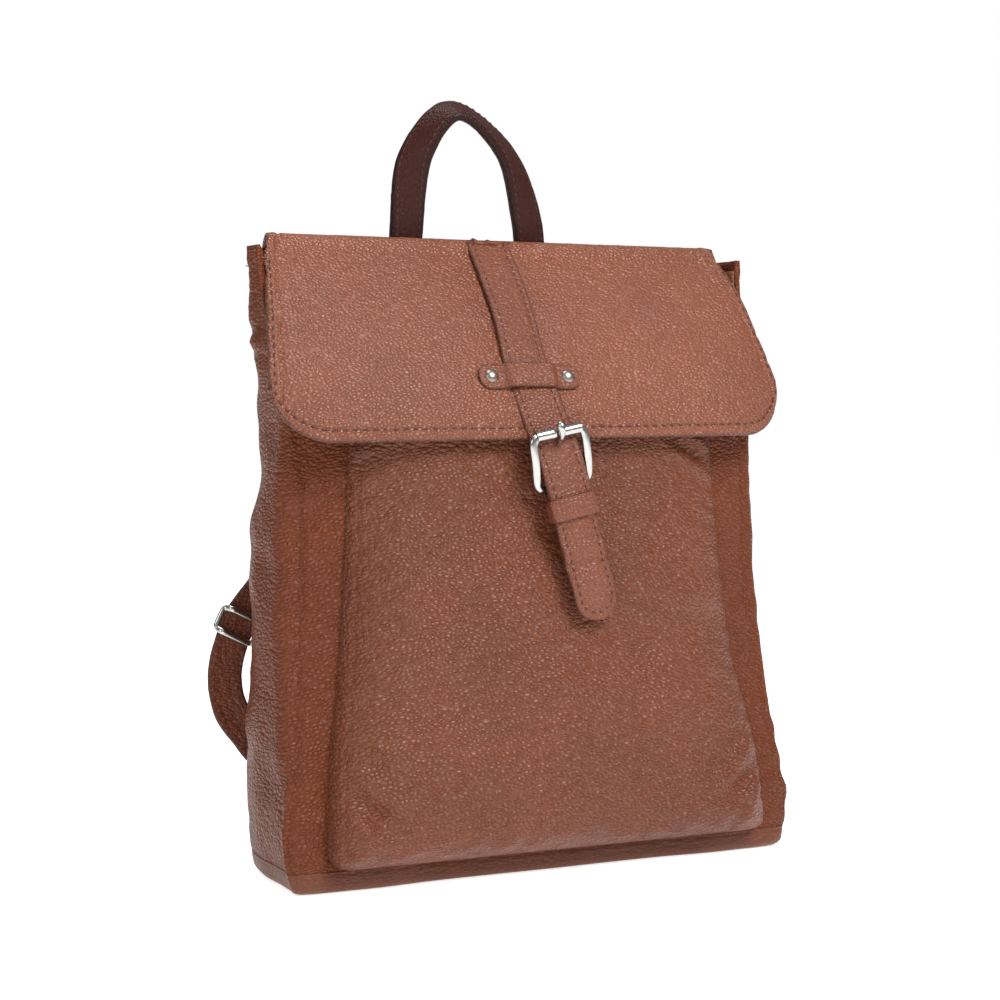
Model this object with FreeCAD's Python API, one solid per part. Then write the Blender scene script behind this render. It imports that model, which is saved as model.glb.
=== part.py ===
import FreeCAD, Part
import math
import os
from FreeCAD import Placement, Rotation, Vector

# Leather flap backpack. Millimetres, +Z up, X to the wearer's right seen from the front,
# front of the bag facing -Y. The origin is the middle of the base, on the floor.

# ---- Shell ----
body_half_width = 145.0
body_height = 330.0
front_wall_height = body_height - 53.0
top_front_y = -12.0
# Run forward of the front wall for each millimetre down from its top.
front_lean = 1.0 / 11.0
back_y = 36.0
panel_thickness = 2.5
base_edge_radius = 14.0
base_turn_up = 20.0
hinge_roll_radius = 7.0

# ---- Inside ----
board_thickness = 3.0
board_margin = 9.0
lining_thickness = 0.6
lining_height = body_height - 83.0
facing_thickness = 1.2
facing_back_low = body_height - 34.0
facing_height_gap = 2.0
facing_front_drop = 30.0

# ---- Front pocket ----
pocket_bottom_z = 26.0
pocket_top_z = body_height - 80.0
pocket_top_half_width = body_half_width - 37.0
pocket_bottom_half_width = body_half_width - 19.0
pocket_mouth_depth = 15.7
# Run forward of the pocket's face for each millimetre down from its mouth.
pocket_flare = 0.138225
pocket_belly_z = 40.0
pocket_belly_radius = 12.0
pocket_corner_radius = 18.0

# ---- Flap ----
flap_thickness = 2.5
flap_lining_thickness = 0.8
flap_lining_inset = 7.0
flap_hem_z = body_height - 101.0
flap_top_half_width = body_half_width - 9.0
flap_wide_half_width = body_half_width + 4.0
flap_neck_z = body_height - 42.0
flap_wide_z = body_height - 68.0
flap_corner_radius = 27.0
flap_neck_radius = 18.0
hinge_clearance = 0.4
# Outer face of the flap from its fold down to the end of the strap, as (y, z).
closure_route = [(24.0, body_height + 4.0), (8.0, body_height - 13.0), (-12.0, body_height - 36.0),
                 (-28.0, body_height - 58.0), (-39.5, body_height - 80.0),
                 (-46.5, body_height - 102.0), (-51.5, body_height - 130.0),
                 (-55.0, body_height - 160.0), (-58.0, body_height - 200.0)]

# ---- Closing strap ----
strap_width = 23.0
strap_thickness = 2.5
# Middle line of the strap seen from the front, as (x, z).
strap_line = [(-6.5, body_height - 3.0), (-10.5, body_height - 70.0), (1.0, body_height - 111.0),
              (17.5, body_height - 196.0)]
strap_bend_radius = 40.0
buckle_z = body_height - 112.0
strap_tip_length = 9.0
prong_hole_low = 1.0
prong_hole_high = 13.0
bridge_length = strap_width + 35.0
bridge_height = 13.0
bridge_thickness = 2.5
bridge_z = body_height - 70.0
bridge_side_clearance = 2.2
rivet_spacing = strap_width + 21.0
rivet_head_radius = 4.0
rivet_head_height = 1.6
chape_top_z = buckle_z - 13.0
chape_bottom_z = buckle_z - 70.0
chape_width = strap_width - 2.0
chape_thickness = 3.0
prong_slot_length = 12.0
prong_slot_drop = 5.0
keeper_z = buckle_z - 25.0
keeper_height = 11.0
keeper_leather = 1.6
keeper_clearance = 0.3
snap_z = buckle_z - 55.0
snap_radius = 8.0
snap_thickness = 1.9

# ---- Buckle ----
buckle_tilt = 11.0
buckle_inner_width = strap_width + 4.0
buckle_wire = 4.0
buckle_reach = 27.0
bar_radius = 1.7
roller_radius = 3.0
roller_clearance = 0.25
roller_end_clearance = 0.3
buckle_clearance = 0.35
prong_width = 3.0
prong_hole_width = prong_width + 1.6
roller_gap = prong_width + 1.4
prong_thickness = 2.4
prong_back_gap = 3.6
prong_eye_wall = 1.2
prong_rise_low = 4.0
prong_rise_high = 9.0
prong_overhang = 4.0

# ---- Handle ----
handle_thickness = 5.0
# Front face of the handle seen from the side, as (y, z).
handle_route = [(39.2, body_height - 10.0), (39.0, body_height + 8.0), (36.0, body_height + 32.0),
                (32.5, body_height + 62.0), (31.0, body_height + 86.0)]
# Outer and inner edges of the arch seen from the front, as (x, z).
handle_outer = [(-60.0, body_height - 6.0), (-60.0, body_height + 15.0), (-53.0, body_height + 58.0),
                (-24.0, body_height + 83.5), (13.0, body_height + 63.0),
                (31.0, body_height + 22.0), (33.0, body_height - 6.0)]
handle_inner = [(14.0, body_height - 6.0), (13.0, body_height + 16.0), (2.0, body_height + 51.0),
                (-21.0, body_height + 72.0), (-36.0, body_height + 54.0),
                (-39.5, body_height + 20.0), (-40.0, body_height - 6.0)]

# ---- Back pieces and shoulder straps ----
yoke_half_width = 68.0
yoke_bottom_z = body_height - 44.0
yoke_top_z = body_height - 10.0
yoke_thickness = 2.5
tab_width = 30.0
tab_bottom_z = 22.0
tab_height = 34.0
tab_thickness = 2.5
shoulder_width = 30.0
shoulder_thickness = 4.0
shoulder_gap = 0.6
adjuster_width = 19.0
adjuster_thickness = 2.2
adjuster_stand_off = 14.0
# Both straps are drawn for these ends, and stretch to the ends that the bag gives them.
drawn_head = (-52.0, 302.0)
drawn_foot = (-129.0, 34.0)
strap_head = (-52.0, body_height - 28.0)
strap_foot = (1.0 + tab_width / 2.0 - body_half_width, 34.0)
shoulder_route = [(0.0, 304.0), (6.0, 280.0), (12.6, 250.0), (14.0, 222.0), (14.1, 181.0)]
shoulder_line = [(-52.0, 302.0), (-84.0, 262.0), (-116.0, 220.0), (-134.0, 181.0)]
shoulder_bend_radius = 60.0
adjuster_foot = [(8.0, 62.0), (0.0, 32.0)]
adjuster_line = [(-128.0, 204.0), (-138.0, 165.0), (-150.0, 98.0), (-141.0, 70.0), (-129.0, 34.0)]
adjuster_straight_low_z = 90.0
adjuster_bend_radius = 25.0
slider_z = 129.0
slider_height = 14.0
slider_wire = 2.4
slider_clearance = 0.5


def front_y(z):
    """Outer face of the leaning front wall at a height."""
    return top_front_y - front_lean * (body_height - z)


def side_point(y, z, x=0.0):
    """Point given by a side view."""
    return Vector(x, y, z)


def front_point(x, z, y=0.0):
    """Point given by a front view."""
    return Vector(x, y, z)


def rounded_face(corners, to_point):
    """Flat face through corners (u, v, radius), each corner rounded by an arc."""
    edges = []
    starts = []
    ends = []
    count = len(corners)
    for index, (u, v, radius) in enumerate(corners):
        here = to_point(u, v)
        before = to_point(*corners[index - 1][:2])
        after = to_point(*corners[(index + 1) % count][:2])
        back = (before - here).normalize()
        ahead = (after - here).normalize()
        if radius == 0.0:
            starts.append(here)
            ends.append(here)
            continue
        half = back.getAngle(ahead) / 2.0
        reach = radius / math.tan(half)
        first = here + back * reach
        last = here + ahead * reach
        bisector = (back + ahead).normalize()
        middle = here + bisector * (radius / math.sin(half) - radius)
        starts.append(first)
        ends.append(last)
        edges.append((index, Part.Arc(first, middle, last).toShape()))
    arcs = dict(edges)
    loop = []
    for index in range(count):
        if index in arcs:
            loop.append(arcs[index])
        following = (index + 1) % count
        if ends[index].distanceToPoint(starts[following]) > 1e-6:
            loop.append(Part.LineSegment(ends[index], starts[following]).toShape())
    return Part.Face(Part.Wire(Part.__sortEdges__(loop)))


def side_plate(corners, x_low, x_high):
    """Solid with a side view outline, from one x to another."""
    face = rounded_face(corners, lambda y, z: side_point(y, z, x_low))
    return face.extrude(Vector(x_high - x_low, 0, 0))


def front_prism(corners, y_low=-150.0, y_high=150.0):
    """Solid with a front view outline, deep enough to trim any piece."""
    face = rounded_face(corners, lambda x, z: front_point(x, z, y_low))
    return face.extrude(Vector(0, y_high - y_low, 0))


def box(x_low, x_high, y_low, y_high, z_low, z_high):
    """Box between two corners."""
    return Part.makeBox(x_high - x_low, y_high - y_low, z_high - z_low, Vector(x_low, y_low, z_low))


def smooth_curve(points):
    """Smooth curve through points."""
    curve = Part.BSplineCurve()
    curve.interpolate(points)
    return curve


def moved_route(route, distance):
    """Route in the side view moved sideways, away from the bag when the distance is positive."""
    points = [side_point(y, z) for y, z in route]
    curve = smooth_curve(points)
    moved = []
    for point in points:
        along = curve.tangent(curve.parameter(point))[0]
        outward = along.cross(Vector(1, 0, 0))
        moved.append(point + outward * distance)
    return moved


def sheet_between(route, near, far, half_width):
    """Leather sheet between two distances from a route, running across the bag."""
    inner = moved_route(route, near)
    outer = moved_route(route, far)
    edges = [smooth_curve(inner).toShape(), Part.LineSegment(inner[-1], outer[-1]).toShape(),
             smooth_curve(outer).toShape(), Part.LineSegment(outer[0], inner[0]).toShape()]
    face = Part.Face(Part.Wire(Part.__sortEdges__(edges)))
    face.translate(Vector(-half_width, 0, 0))
    return face.extrude(Vector(2.0 * half_width, 0, 0))


def ribbon_corners(line, width, bend_radius, tip_length=0.0):
    """Outline of a strip of even width along a line, with an optional pointed-round end."""
    points = [Vector(x, 0, z) for x, z in line]
    left = []
    right = []
    for index, point in enumerate(points):
        before = points[max(index - 1, 0)]
        after = points[min(index + 1, len(points) - 1)]
        inward = (point - before) if index else (after - point)
        outward = (after - point) if index < len(points) - 1 else (point - before)
        inward.normalize()
        outward.normalize()
        along = (inward + outward).normalize()
        across = Vector(along.z, 0, -along.x)
        reach = width / 2.0 / along.dot(inward)
        radius = bend_radius if 0 < index < len(points) - 1 else 0.0
        left.append((point + across * reach, radius))
        right.append((point - across * reach, radius))
    if tip_length:
        end = points[-1]
        along = (points[-1] - points[-2]).normalize()
        across = Vector(along.z, 0, -along.x)
        shoulder = end - along * tip_length
        left[-1] = (shoulder + across * (width / 2.0), tip_length * 0.8)
        left.append((end + across * (width / 4.0), tip_length * 0.6))
        right[-1] = (shoulder - across * (width / 2.0), tip_length * 0.8)
        right.append((end - across * (width / 4.0), tip_length * 0.6))
    ordered = left + right[::-1]
    return [(point.x, point.z, radius) for point, radius in ordered]


def route_frame(z):
    """Point on the closing route at a height, with its downward and outward directions."""
    curve = smooth_curve([side_point(y, z_) for y, z_ in closure_route])
    plane = Part.Plane(Vector(0, 0, z), Vector(0, 0, 1))
    crossing = curve.intersect(plane)[0][0]
    point = Vector(crossing.X, crossing.Y, crossing.Z)
    along = curve.tangent(curve.parameter(point))[0]
    return point, along, along.cross(Vector(1, 0, 0))


def line_x(line, z):
    """Sideways place of a line at a height."""
    for (x_a, z_a), (x_b, z_b) in zip(line, line[1:]):
        if z_b <= z <= z_a:
            return x_a + (x_b - x_a) * (z - z_a) / (z_b - z_a)
    raise ValueError("height is outside the line")


def placed(x, z, lift, tilt):
    """Placement on the closing strap: local X across, local Y up the strap, local Z outward."""
    point, along, outward = route_frame(z)
    up = Vector(0, 0, 0) - along
    turn = Rotation(Vector(1, 0, 0), up, outward, "ZXY")
    spin = Rotation(Vector(0, 0, 1), tilt)
    origin = Vector(x, point.y, point.z) + outward * lift
    return Placement(origin, turn.multiply(spin))


# ---- Shell pieces ----

def wedge_corners(inset, low_z, high_z):
    """Side view of the bag's volume, set in from the outer faces."""
    turn = max(base_edge_radius - inset, 1.0)
    return [(front_y(low_z) + inset, low_z, turn), (back_y - inset, low_z, turn),
            (back_y - inset, high_z, 0.0), (front_y(high_z) + inset, high_z, 0.0)]


def side_panel(direction):
    """Leaning-edged side wall; direction is -1 on the left and +1 on the right."""
    panel = side_plate(wedge_corners(0.0, 0.0, body_height), body_half_width - panel_thickness,
                       body_half_width)
    if direction < 0:
        panel = panel.mirror(Vector(0, 0, 0), Vector(1, 0, 0))
    return panel


def front_panel():
    """Front wall, lower than the sides because the flap passes over it."""
    corners = [(front_y(base_turn_up), base_turn_up, 0.0),
               (front_y(front_wall_height), front_wall_height, 0.0),
               (front_y(front_wall_height) + panel_thickness, front_wall_height, 0.0),
               (front_y(base_turn_up) + panel_thickness, base_turn_up, 0.0)]
    inner_half_width = body_half_width - panel_thickness
    return side_plate(corners, -inner_half_width, inner_half_width)


def flap_fold():
    """Centre of the flap's fold, as (y, z)."""
    start = moved_route(closure_route, -flap_thickness / 2.0)[0]
    return start.y, start.z


def back_panel():
    """Back wall, its top turned forward up to the flap's fold."""
    fold_y, fold_z = flap_fold()
    roof_y = fold_y + panel_thickness / 2.0 + hinge_clearance
    roof_z = fold_z + panel_thickness / 2.0
    inner_y = back_y - panel_thickness
    corners = [(back_y, base_turn_up, 0.0), (back_y, roof_z - 2.0, hinge_roll_radius),
               (roof_y, roof_z, 0.0), (roof_y, roof_z - panel_thickness, 0.0),
               (inner_y, roof_z - 2.0 - panel_thickness, hinge_roll_radius - panel_thickness),
               (inner_y, base_turn_up, 0.0)]
    inner_half_width = body_half_width - panel_thickness
    wall = side_plate(corners, -inner_half_width, inner_half_width)
    return wall.common(front_prism(roof_outline()))


def roof_outline():
    """Front view that narrows the turned top of the back wall to the flap's width."""
    wide = body_half_width
    narrow = flap_top_half_width
    step_z = body_height - hinge_roll_radius
    return [(-wide, 0.0, 0.0), (wide, 0.0, 0.0), (wide, step_z, 0.0), (narrow, step_z, 0.0),
            (narrow, body_height + 20.0, 0.0), (-narrow, body_height + 20.0, 0.0),
            (-narrow, step_z, 0.0), (-wide, step_z, 0.0)]


def bottom_panel():
    """Bottom wall, its front and back edges turned up in a round."""
    low = panel_thickness
    inner_radius = base_edge_radius - panel_thickness
    corners = [(front_y(base_turn_up), base_turn_up, 0.0), (front_y(0.0), 0.0, base_edge_radius),
               (back_y, 0.0, base_edge_radius), (back_y, base_turn_up, 0.0),
               (back_y - low, base_turn_up, 0.0), (back_y - low, low, inner_radius),
               (front_y(low) + low, low, inner_radius),
               (front_y(base_turn_up) + low, base_turn_up, 0.0)]
    inner_half_width = body_half_width - panel_thickness
    return side_plate(corners, -inner_half_width, inner_half_width)


def base_board():
    """Stiff board that keeps the base flat, hidden under the lining."""
    half_width = body_half_width - board_margin
    return box(-half_width, half_width, front_y(0.0) + base_edge_radius, back_y - base_edge_radius,
               panel_thickness, panel_thickness + board_thickness)


def lining():
    """Cloth lining of the main compartment."""
    floor_z = panel_thickness + board_thickness
    outer = wedge_corners(panel_thickness, floor_z, lining_height)
    inset = panel_thickness + lining_thickness
    inner = wedge_corners(inset, floor_z + lining_thickness, lining_height + 1.0)
    half_width = body_half_width - panel_thickness
    skin = side_plate(outer, -half_width, half_width)
    inner_half_width = half_width - lining_thickness
    return skin.cut(side_plate(inner, -inner_half_width, inner_half_width))


def mouth_facing():
    """Leather band sewn round the inside of the mouth."""
    half_width = body_half_width - panel_thickness
    inner_back = back_y - panel_thickness
    front_top = front_wall_height - facing_height_gap
    front_low = front_wall_height - facing_front_drop
    back_top = body_height - facing_height_gap - 3.0 * panel_thickness
    inset = panel_thickness
    side_corners = [(inner_back, facing_back_low, 0.0), (inner_back, back_top, 0.0),
                    (front_y(back_top) + inset, back_top, 0.0),
                    (front_y(front_low) + inset, front_low, 0.0)]
    right = side_plate(side_corners, half_width - facing_thickness, half_width)
    left = right.mirror(Vector(0, 0, 0), Vector(1, 0, 0))
    between = half_width - facing_thickness
    back = box(-between, between, inner_back - facing_thickness, inner_back,
               facing_back_low, back_top)
    front_corners = [(front_y(front_low) + inset, front_low, 0.0),
                     (front_y(front_top) + inset, front_top, 0.0),
                     (front_y(front_top) + inset + facing_thickness, front_top, 0.0),
                     (front_y(front_low) + inset + facing_thickness, front_low, 0.0)]
    front = side_plate(front_corners, -between, between)
    return right.fuse([left, back, front]).removeSplitter()


# ---- Front pocket ----

def pocket_y(z):
    """Outer face of the pocket at a height."""
    mouth_y = front_y(pocket_top_z) - pocket_mouth_depth
    return mouth_y - pocket_flare * (pocket_top_z - z)


def pocket_volume(inset, past_top, into_wall):
    """Bag-shaped volume of the pocket, set in from its outer faces."""
    top_z = pocket_top_z + past_top
    low_z = pocket_bottom_z + inset
    corners = [(front_y(low_z) + into_wall, low_z, 0.0),
               (pocket_y(pocket_belly_z) + inset, pocket_belly_z, pocket_belly_radius),
               (pocket_y(top_z) + inset, top_z, 0.0),
               (front_y(top_z) + into_wall, top_z, 0.0)]
    side = side_plate(corners, -pocket_bottom_half_width, pocket_bottom_half_width)
    rise = pocket_top_z - pocket_bottom_z
    spread = (pocket_bottom_half_width - pocket_top_half_width) / rise
    low = pocket_bottom_half_width - inset
    top = pocket_top_half_width - spread * past_top - inset
    outline = [(-low, low_z, pocket_corner_radius), (low, low_z, pocket_corner_radius),
               (top, top_z, 0.0), (-top, top_z, 0.0)]
    return side.common(front_prism(outline))


def front_pocket():
    """Patch pocket: one leather piece, shaped into a tray and sewn to the front wall."""
    return pocket_volume(0.0, 0.0, 0.0).cut(pocket_volume(panel_thickness, 5.0, 5.0))


# ---- Flap and closing strap ----

def flap_outline(inset):
    """Front view of the flap."""
    top = flap_top_half_width - inset
    wide = flap_wide_half_width - inset
    low_z = flap_hem_z + inset
    high_z = body_height + 20.0
    corner = flap_corner_radius - inset
    return [(-wide, low_z, corner), (wide, low_z, corner),
            (wide, flap_wide_z, flap_neck_radius), (top, flap_neck_z, flap_neck_radius),
            (top, high_z, 0.0), (-top, high_z, 0.0),
            (-top, flap_neck_z, flap_neck_radius), (-wide, flap_wide_z, flap_neck_radius)]


def flap():
    """Outer leather of the flap, with a rolled edge at its fold."""
    fold_y, fold_z = flap_fold()
    sheet = sheet_between(closure_route, -flap_thickness, 0.0, flap_wide_half_width)
    roll = Part.makeCylinder(flap_thickness / 2.0, 2.0 * flap_top_half_width,
                             Vector(-flap_top_half_width, fold_y, fold_z), Vector(1, 0, 0))
    return sheet.common(front_prism(flap_outline(0.0))).fuse(roll).removeSplitter()


def flap_lining():
    """Lining on the underside of the flap."""
    deep = -flap_thickness - flap_lining_thickness
    sheet = sheet_between(closure_route, deep, -flap_thickness, flap_wide_half_width)
    below_fold = box(-body_half_width * 2, body_half_width * 2, -200.0, 200.0, 0.0,
                     closure_route[0][1] - 2.0 * flap_lining_inset)
    return sheet.common(front_prism(flap_outline(flap_lining_inset))).common(below_fold)


def prong_hole():
    """Oblong hole for the prong, in the buckle's own frame."""
    middle = (prong_hole_low + prong_hole_high) / 2.0
    length = prong_hole_high - prong_hole_low - prong_hole_width
    slot = Part.makeBox(prong_hole_width, length, 12.0,
                        Vector(-prong_hole_width / 2.0, middle - length / 2.0, -6.0))
    for end in (-1.0, 1.0):
        slot = slot.fuse(Part.makeCylinder(prong_hole_width / 2.0, 12.0,
                                           Vector(0, middle + end * length / 2.0, -6.0)))
    return in_buckle(slot)


def flap_strap():
    """Closing strap, sewn on the flap and running through the buckle to a loose-looking tail."""
    sheet = sheet_between(closure_route, 0.0, strap_thickness, flap_wide_half_width)
    outline = ribbon_corners(strap_line, strap_width, strap_bend_radius, strap_tip_length)
    return sheet.common(front_prism(outline)).cut(prong_hole())


def bridge_place():
    """Placement of the bridge loop on the strap."""
    return placed(line_x(strap_line, bridge_z), bridge_z, 0.0, 0.0)


def keeper_bridge():
    """Short cross strap over the closing strap, riveted at both ends."""
    over = strap_thickness + keeper_clearance
    half = bridge_length / 2.0
    radius = bridge_height / 2.0
    face = rounded_face([(-half, -radius, radius * 0.95), (half, -radius, radius * 0.95),
                         (half, radius, radius * 0.95), (-half, radius, radius * 0.95)],
                        lambda x, y: Vector(x, y, 0.0))
    blank = face.extrude(Vector(0, 0, over + bridge_thickness))
    flat = strap_width / 2.0 + bridge_side_clearance
    slope = 4.0
    under = rounded_side([(-flat, -2.0), (-flat, over), (flat, over), (flat, -2.0)], radius + 1.0)
    above = [(-half - 1.0, bridge_thickness), (-flat - slope, bridge_thickness),
             (-flat, over + bridge_thickness + 1.0), (-half - 1.0, over + bridge_thickness + 1.0)]
    left_relief = rounded_side(above, radius + 1.0)
    right_relief = left_relief.mirror(Vector(0, 0, 0), Vector(1, 0, 0))
    bridge = blank.cut([under, left_relief, right_relief])
    bridge.Placement = bridge_place()
    return bridge.cut(sheet_between(closure_route, -8.0, 0.0, flap_wide_half_width))


def rounded_side(points, half_depth):
    """Solid from an outline in local X and Z, centred on local Y."""
    face = rounded_face([(x, z, 0.0) for x, z in points],
                        lambda x, z: Vector(x, -half_depth, z))
    return face.extrude(Vector(0, 2.0 * half_depth, 0))


def bridge_rivets():
    """Pair of domed rivets that hold the bridge."""
    rivets = []
    for direction in (-1.0, 1.0):
        centre = Vector(direction * rivet_spacing / 2.0, 0, bridge_thickness)
        head = Part.makeCylinder(rivet_head_radius, rivet_head_height, centre)
        rim = [edge for edge in head.Edges
               if edge.Closed and edge.CenterOfMass.z > bridge_thickness + rivet_head_height / 2.0]
        rivets.append(head.makeFillet(rivet_head_height * 0.6, rim))
    group = Part.makeCompound(rivets)
    group.Placement = bridge_place()
    return group


def buckle_chape():
    """Leather tab behind the strap that holds the buckle's lower bar and the keeper."""
    sheet = sheet_between(closure_route, -chape_thickness, 0.0, flap_wide_half_width)
    lean = [(line_x(strap_line, z), z) for z in (chape_top_z, chape_bottom_z)]
    tongue = sheet.common(front_prism(ribbon_corners(lean, chape_width, 0.0, chape_width * 0.3)))
    clear = bar_radius + buckle_clearance
    heel = Vector(-chape_width / 2.0, -buckle_reach / 2.0, heel_lift())
    wrap = Part.makeCylinder(clear + chape_thickness / 2.0, chape_width, heel, Vector(1, 0, 0))
    bore = Part.makeCylinder(clear, chape_width * 3.0, heel - Vector(chape_width, 0, 0),
                             Vector(1, 0, 0))
    slot = Part.makeBox(prong_hole_width, prong_slot_length, 20.0,
                        Vector(-prong_hole_width / 2.0, heel.y - prong_slot_drop, -16.0))
    return tongue.fuse(in_buckle(wrap)).cut(in_buckle(bore.fuse(slot)))


def keeper_loop():
    """Narrow leather loop round the strap and the chape."""
    outer_low = -chape_thickness - keeper_clearance - keeper_leather
    outer_high = strap_thickness + keeper_clearance + keeper_leather
    half = strap_width / 2.0 + keeper_clearance + keeper_leather
    ring = Part.makeBox(2.0 * half, keeper_height, outer_high - outer_low,
                        Vector(-half, -keeper_height / 2.0, outer_low))
    ring = ring.makeFillet(1.2, [edge for edge in ring.Edges
                                 if abs(edge.tangentAt(edge.FirstParameter).y) > 0.9])
    hollow = Part.makeBox(2.0 * (half - keeper_leather), keeper_height * 2.0,
                          outer_high - outer_low - 2.0 * keeper_leather,
                          Vector(keeper_leather - half, -keeper_height, outer_low + keeper_leather))
    loop = ring.cut(hollow)
    loop.Placement = placed(line_x(strap_line, keeper_z), keeper_z, 0.0, buckle_tilt)
    return loop


def snap_place():
    """Placement of the magnetic snap behind the chape."""
    return placed(line_x(strap_line, snap_z), snap_z, 0.0, 0.0)


def snap_stud():
    """Magnetic snap's upper half, on the back of the chape."""
    stud = Part.makeCylinder(snap_radius, snap_thickness,
                             Vector(0, 0, -chape_thickness - snap_thickness))
    stud.Placement = snap_place()
    return stud


def snap_socket():
    """Magnetic snap's lower half, on the front of the pocket."""
    outward = Vector(0, -1.0, pocket_flare).normalize()
    foot = Vector(line_x(strap_line, snap_z), pocket_y(snap_z), snap_z)
    return Part.makeCylinder(snap_radius, snap_thickness, foot, outward)


# ---- Buckle, in its own frame: X across, Y up the strap, Z outward from the strap's back face ----

def in_buckle(shape):
    """Shape moved from the buckle's own frame to the bag."""
    shape.Placement = placed(line_x(strap_line, buckle_z), buckle_z, 0.0, buckle_tilt)
    return shape


def heel_lift():
    """Height of the lower bar over the back face of the strap: the chape wraps it behind."""
    return -chape_thickness / 2.0 - buckle_clearance - bar_radius


def top_lift():
    """Height of the upper bar: it lies in front of the strap."""
    return strap_thickness + buckle_clearance + roller_radius


def buckle_frame():
    """Rectangular frame with a plain lower bar and a thin upper bar for the rollers."""
    half = buckle_inner_width / 2.0
    reach = buckle_reach / 2.0
    heel = Vector(0, -reach, heel_lift())
    top = Vector(0, reach, top_lift())
    side = top - heel
    turn = Rotation(Vector(0, 1, 0), side)
    pieces = []
    for direction in (-1.0, 1.0):
        bar = Part.makeBox(buckle_wire, side.Length + buckle_wire, buckle_wire * 0.8,
                           Vector(-buckle_wire / 2.0, -buckle_wire / 2.0, -buckle_wire * 0.4))
        bar = bar.makeFillet(1.0, bar.Edges)
        bar.Placement = Placement(heel + Vector(direction * (half + buckle_wire / 2.0), 0, 0), turn)
        pieces.append(bar)
    for end in (heel, top):
        pieces.append(Part.makeCylinder(bar_radius, buckle_inner_width + buckle_wire,
                                        end - Vector(half + buckle_wire / 2.0, 0, 0),
                                        Vector(1, 0, 0)))
    frame = pieces[0].fuse(pieces[1:]).removeSplitter()
    return in_buckle(frame)


def buckle_roller(direction):
    """Sleeve on the upper bar, on one side of the prong."""
    half = buckle_inner_width / 2.0
    length = half - roller_gap / 2.0 - roller_end_clearance
    near = roller_gap / 2.0 if direction > 0 else -roller_gap / 2.0 - length
    start = Vector(near, buckle_reach / 2.0, top_lift())
    sleeve = Part.makeCylinder(roller_radius, length, start, Vector(1, 0, 0))
    bore = Part.makeCylinder(bar_radius + roller_clearance, length, start, Vector(1, 0, 0))
    return in_buckle(sleeve.cut(bore))


def buckle_prong():
    """Prong: looped round the lower bar, up behind the strap, through its hole, over the rollers."""
    heel_y = -buckle_reach / 2.0
    top_y = buckle_reach / 2.0
    heel_z = heel_lift()
    rest_z = top_lift() + bar_radius + 0.5
    half = prong_thickness / 2.0
    bore_radius = bar_radius + roller_clearance
    eye_radius = bore_radius + prong_eye_wall
    back_z = -prong_back_gap - prong_thickness
    corners = [(heel_y, heel_z - half, 0.0), (prong_rise_low, back_z, 3.0),
               (prong_rise_high + 1.0, rest_z - 1.5, 2.0),
               (top_y - 1.0, rest_z, 2.0), (top_y + prong_overhang, rest_z - 1.4, 0.0),
               (top_y + prong_overhang + 0.6, rest_z - 0.2, 0.0),
               (top_y, rest_z + prong_thickness, 3.0),
               (prong_rise_high - 2.0, rest_z - 0.5 + half, 3.0),
               (prong_rise_low - 2.0, back_z + prong_thickness, 2.0),
               (heel_y, heel_z + half, 0.0)]
    face = rounded_face(corners, lambda y, z: Vector(-prong_width / 2.0, y, z))
    blade = face.extrude(Vector(prong_width, 0, 0))
    start = Vector(-prong_width / 2.0, heel_y, heel_z)
    eye = Part.makeCylinder(eye_radius, prong_width, start, Vector(1, 0, 0))
    bore = Part.makeCylinder(bore_radius, prong_width, start, Vector(1, 0, 0))
    return in_buckle(blade.fuse(eye).cut(bore).removeSplitter())


# ---- Handle ----

def handle():
    """Carrying loop at the top of the back."""
    sheet = sheet_between(handle_route, 0.0, handle_thickness, body_half_width)
    outer = smooth_curve([front_point(x, z) for x, z in handle_outer]).toShape()
    inner = smooth_curve([front_point(x, z) for x, z in handle_inner]).toShape()
    ends = [Part.LineSegment(front_point(*handle_outer[-1]), front_point(*handle_inner[0])),
            Part.LineSegment(front_point(*handle_inner[-1]), front_point(*handle_outer[0]))]
    loop = [outer, inner] + [end.toShape() for end in ends]
    face = Part.Face(Part.Wire(Part.__sortEdges__(loop)))
    face.translate(Vector(0, -150.0, 0))
    return sheet.common(face.extrude(Vector(0, 300.0, 0)))


# ---- Back pieces and shoulder straps ----

def back_yoke():
    """Patch on the back that covers the sewn ends of the handle and the shoulder straps."""
    return box(-yoke_half_width, yoke_half_width, back_y, back_y + yoke_thickness,
               yoke_bottom_z, yoke_top_z)


def strap_tab(direction):
    """Tab at a lower back corner that holds the foot of a shoulder strap."""
    outer = body_half_width - 1.0
    corners = [(outer - tab_width, tab_bottom_z, 3.0), (outer, tab_bottom_z, 3.0),
               (outer, tab_bottom_z + tab_height, 3.0),
               (outer - tab_width, tab_bottom_z + tab_height * 0.5, 3.0)]
    tab = front_prism(corners, back_y, back_y + tab_thickness)
    if direction < 0:
        tab = tab.mirror(Vector(0, 0, 0), Vector(1, 0, 0))
    return tab


def strap_x(drawn):
    """Sideways place on a left strap, stretched to fit between the strap's two ends."""
    share = (drawn - drawn_head[0]) / (drawn_foot[0] - drawn_head[0])
    return strap_head[0] + share * (strap_foot[0] - strap_head[0])


def strap_z(drawn):
    """Height on a shoulder strap, stretched to fit between the strap's two ends."""
    share = (drawn - drawn_foot[1]) / (drawn_head[1] - drawn_foot[1])
    return strap_foot[1] + share * (strap_head[1] - strap_foot[1])


def stretched_route(route):
    """Side view of a strap with its heights stretched."""
    return [(y, strap_z(z)) for y, z in route]


def stretched_line(line):
    """Front view of a strap, stretched both ways."""
    return [(strap_x(x), strap_z(z)) for x, z in line]


def strap_plane():
    """Y of the sewn ends' front faces, just behind the yoke and tabs."""
    return back_y + yoke_thickness + shoulder_gap


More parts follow.
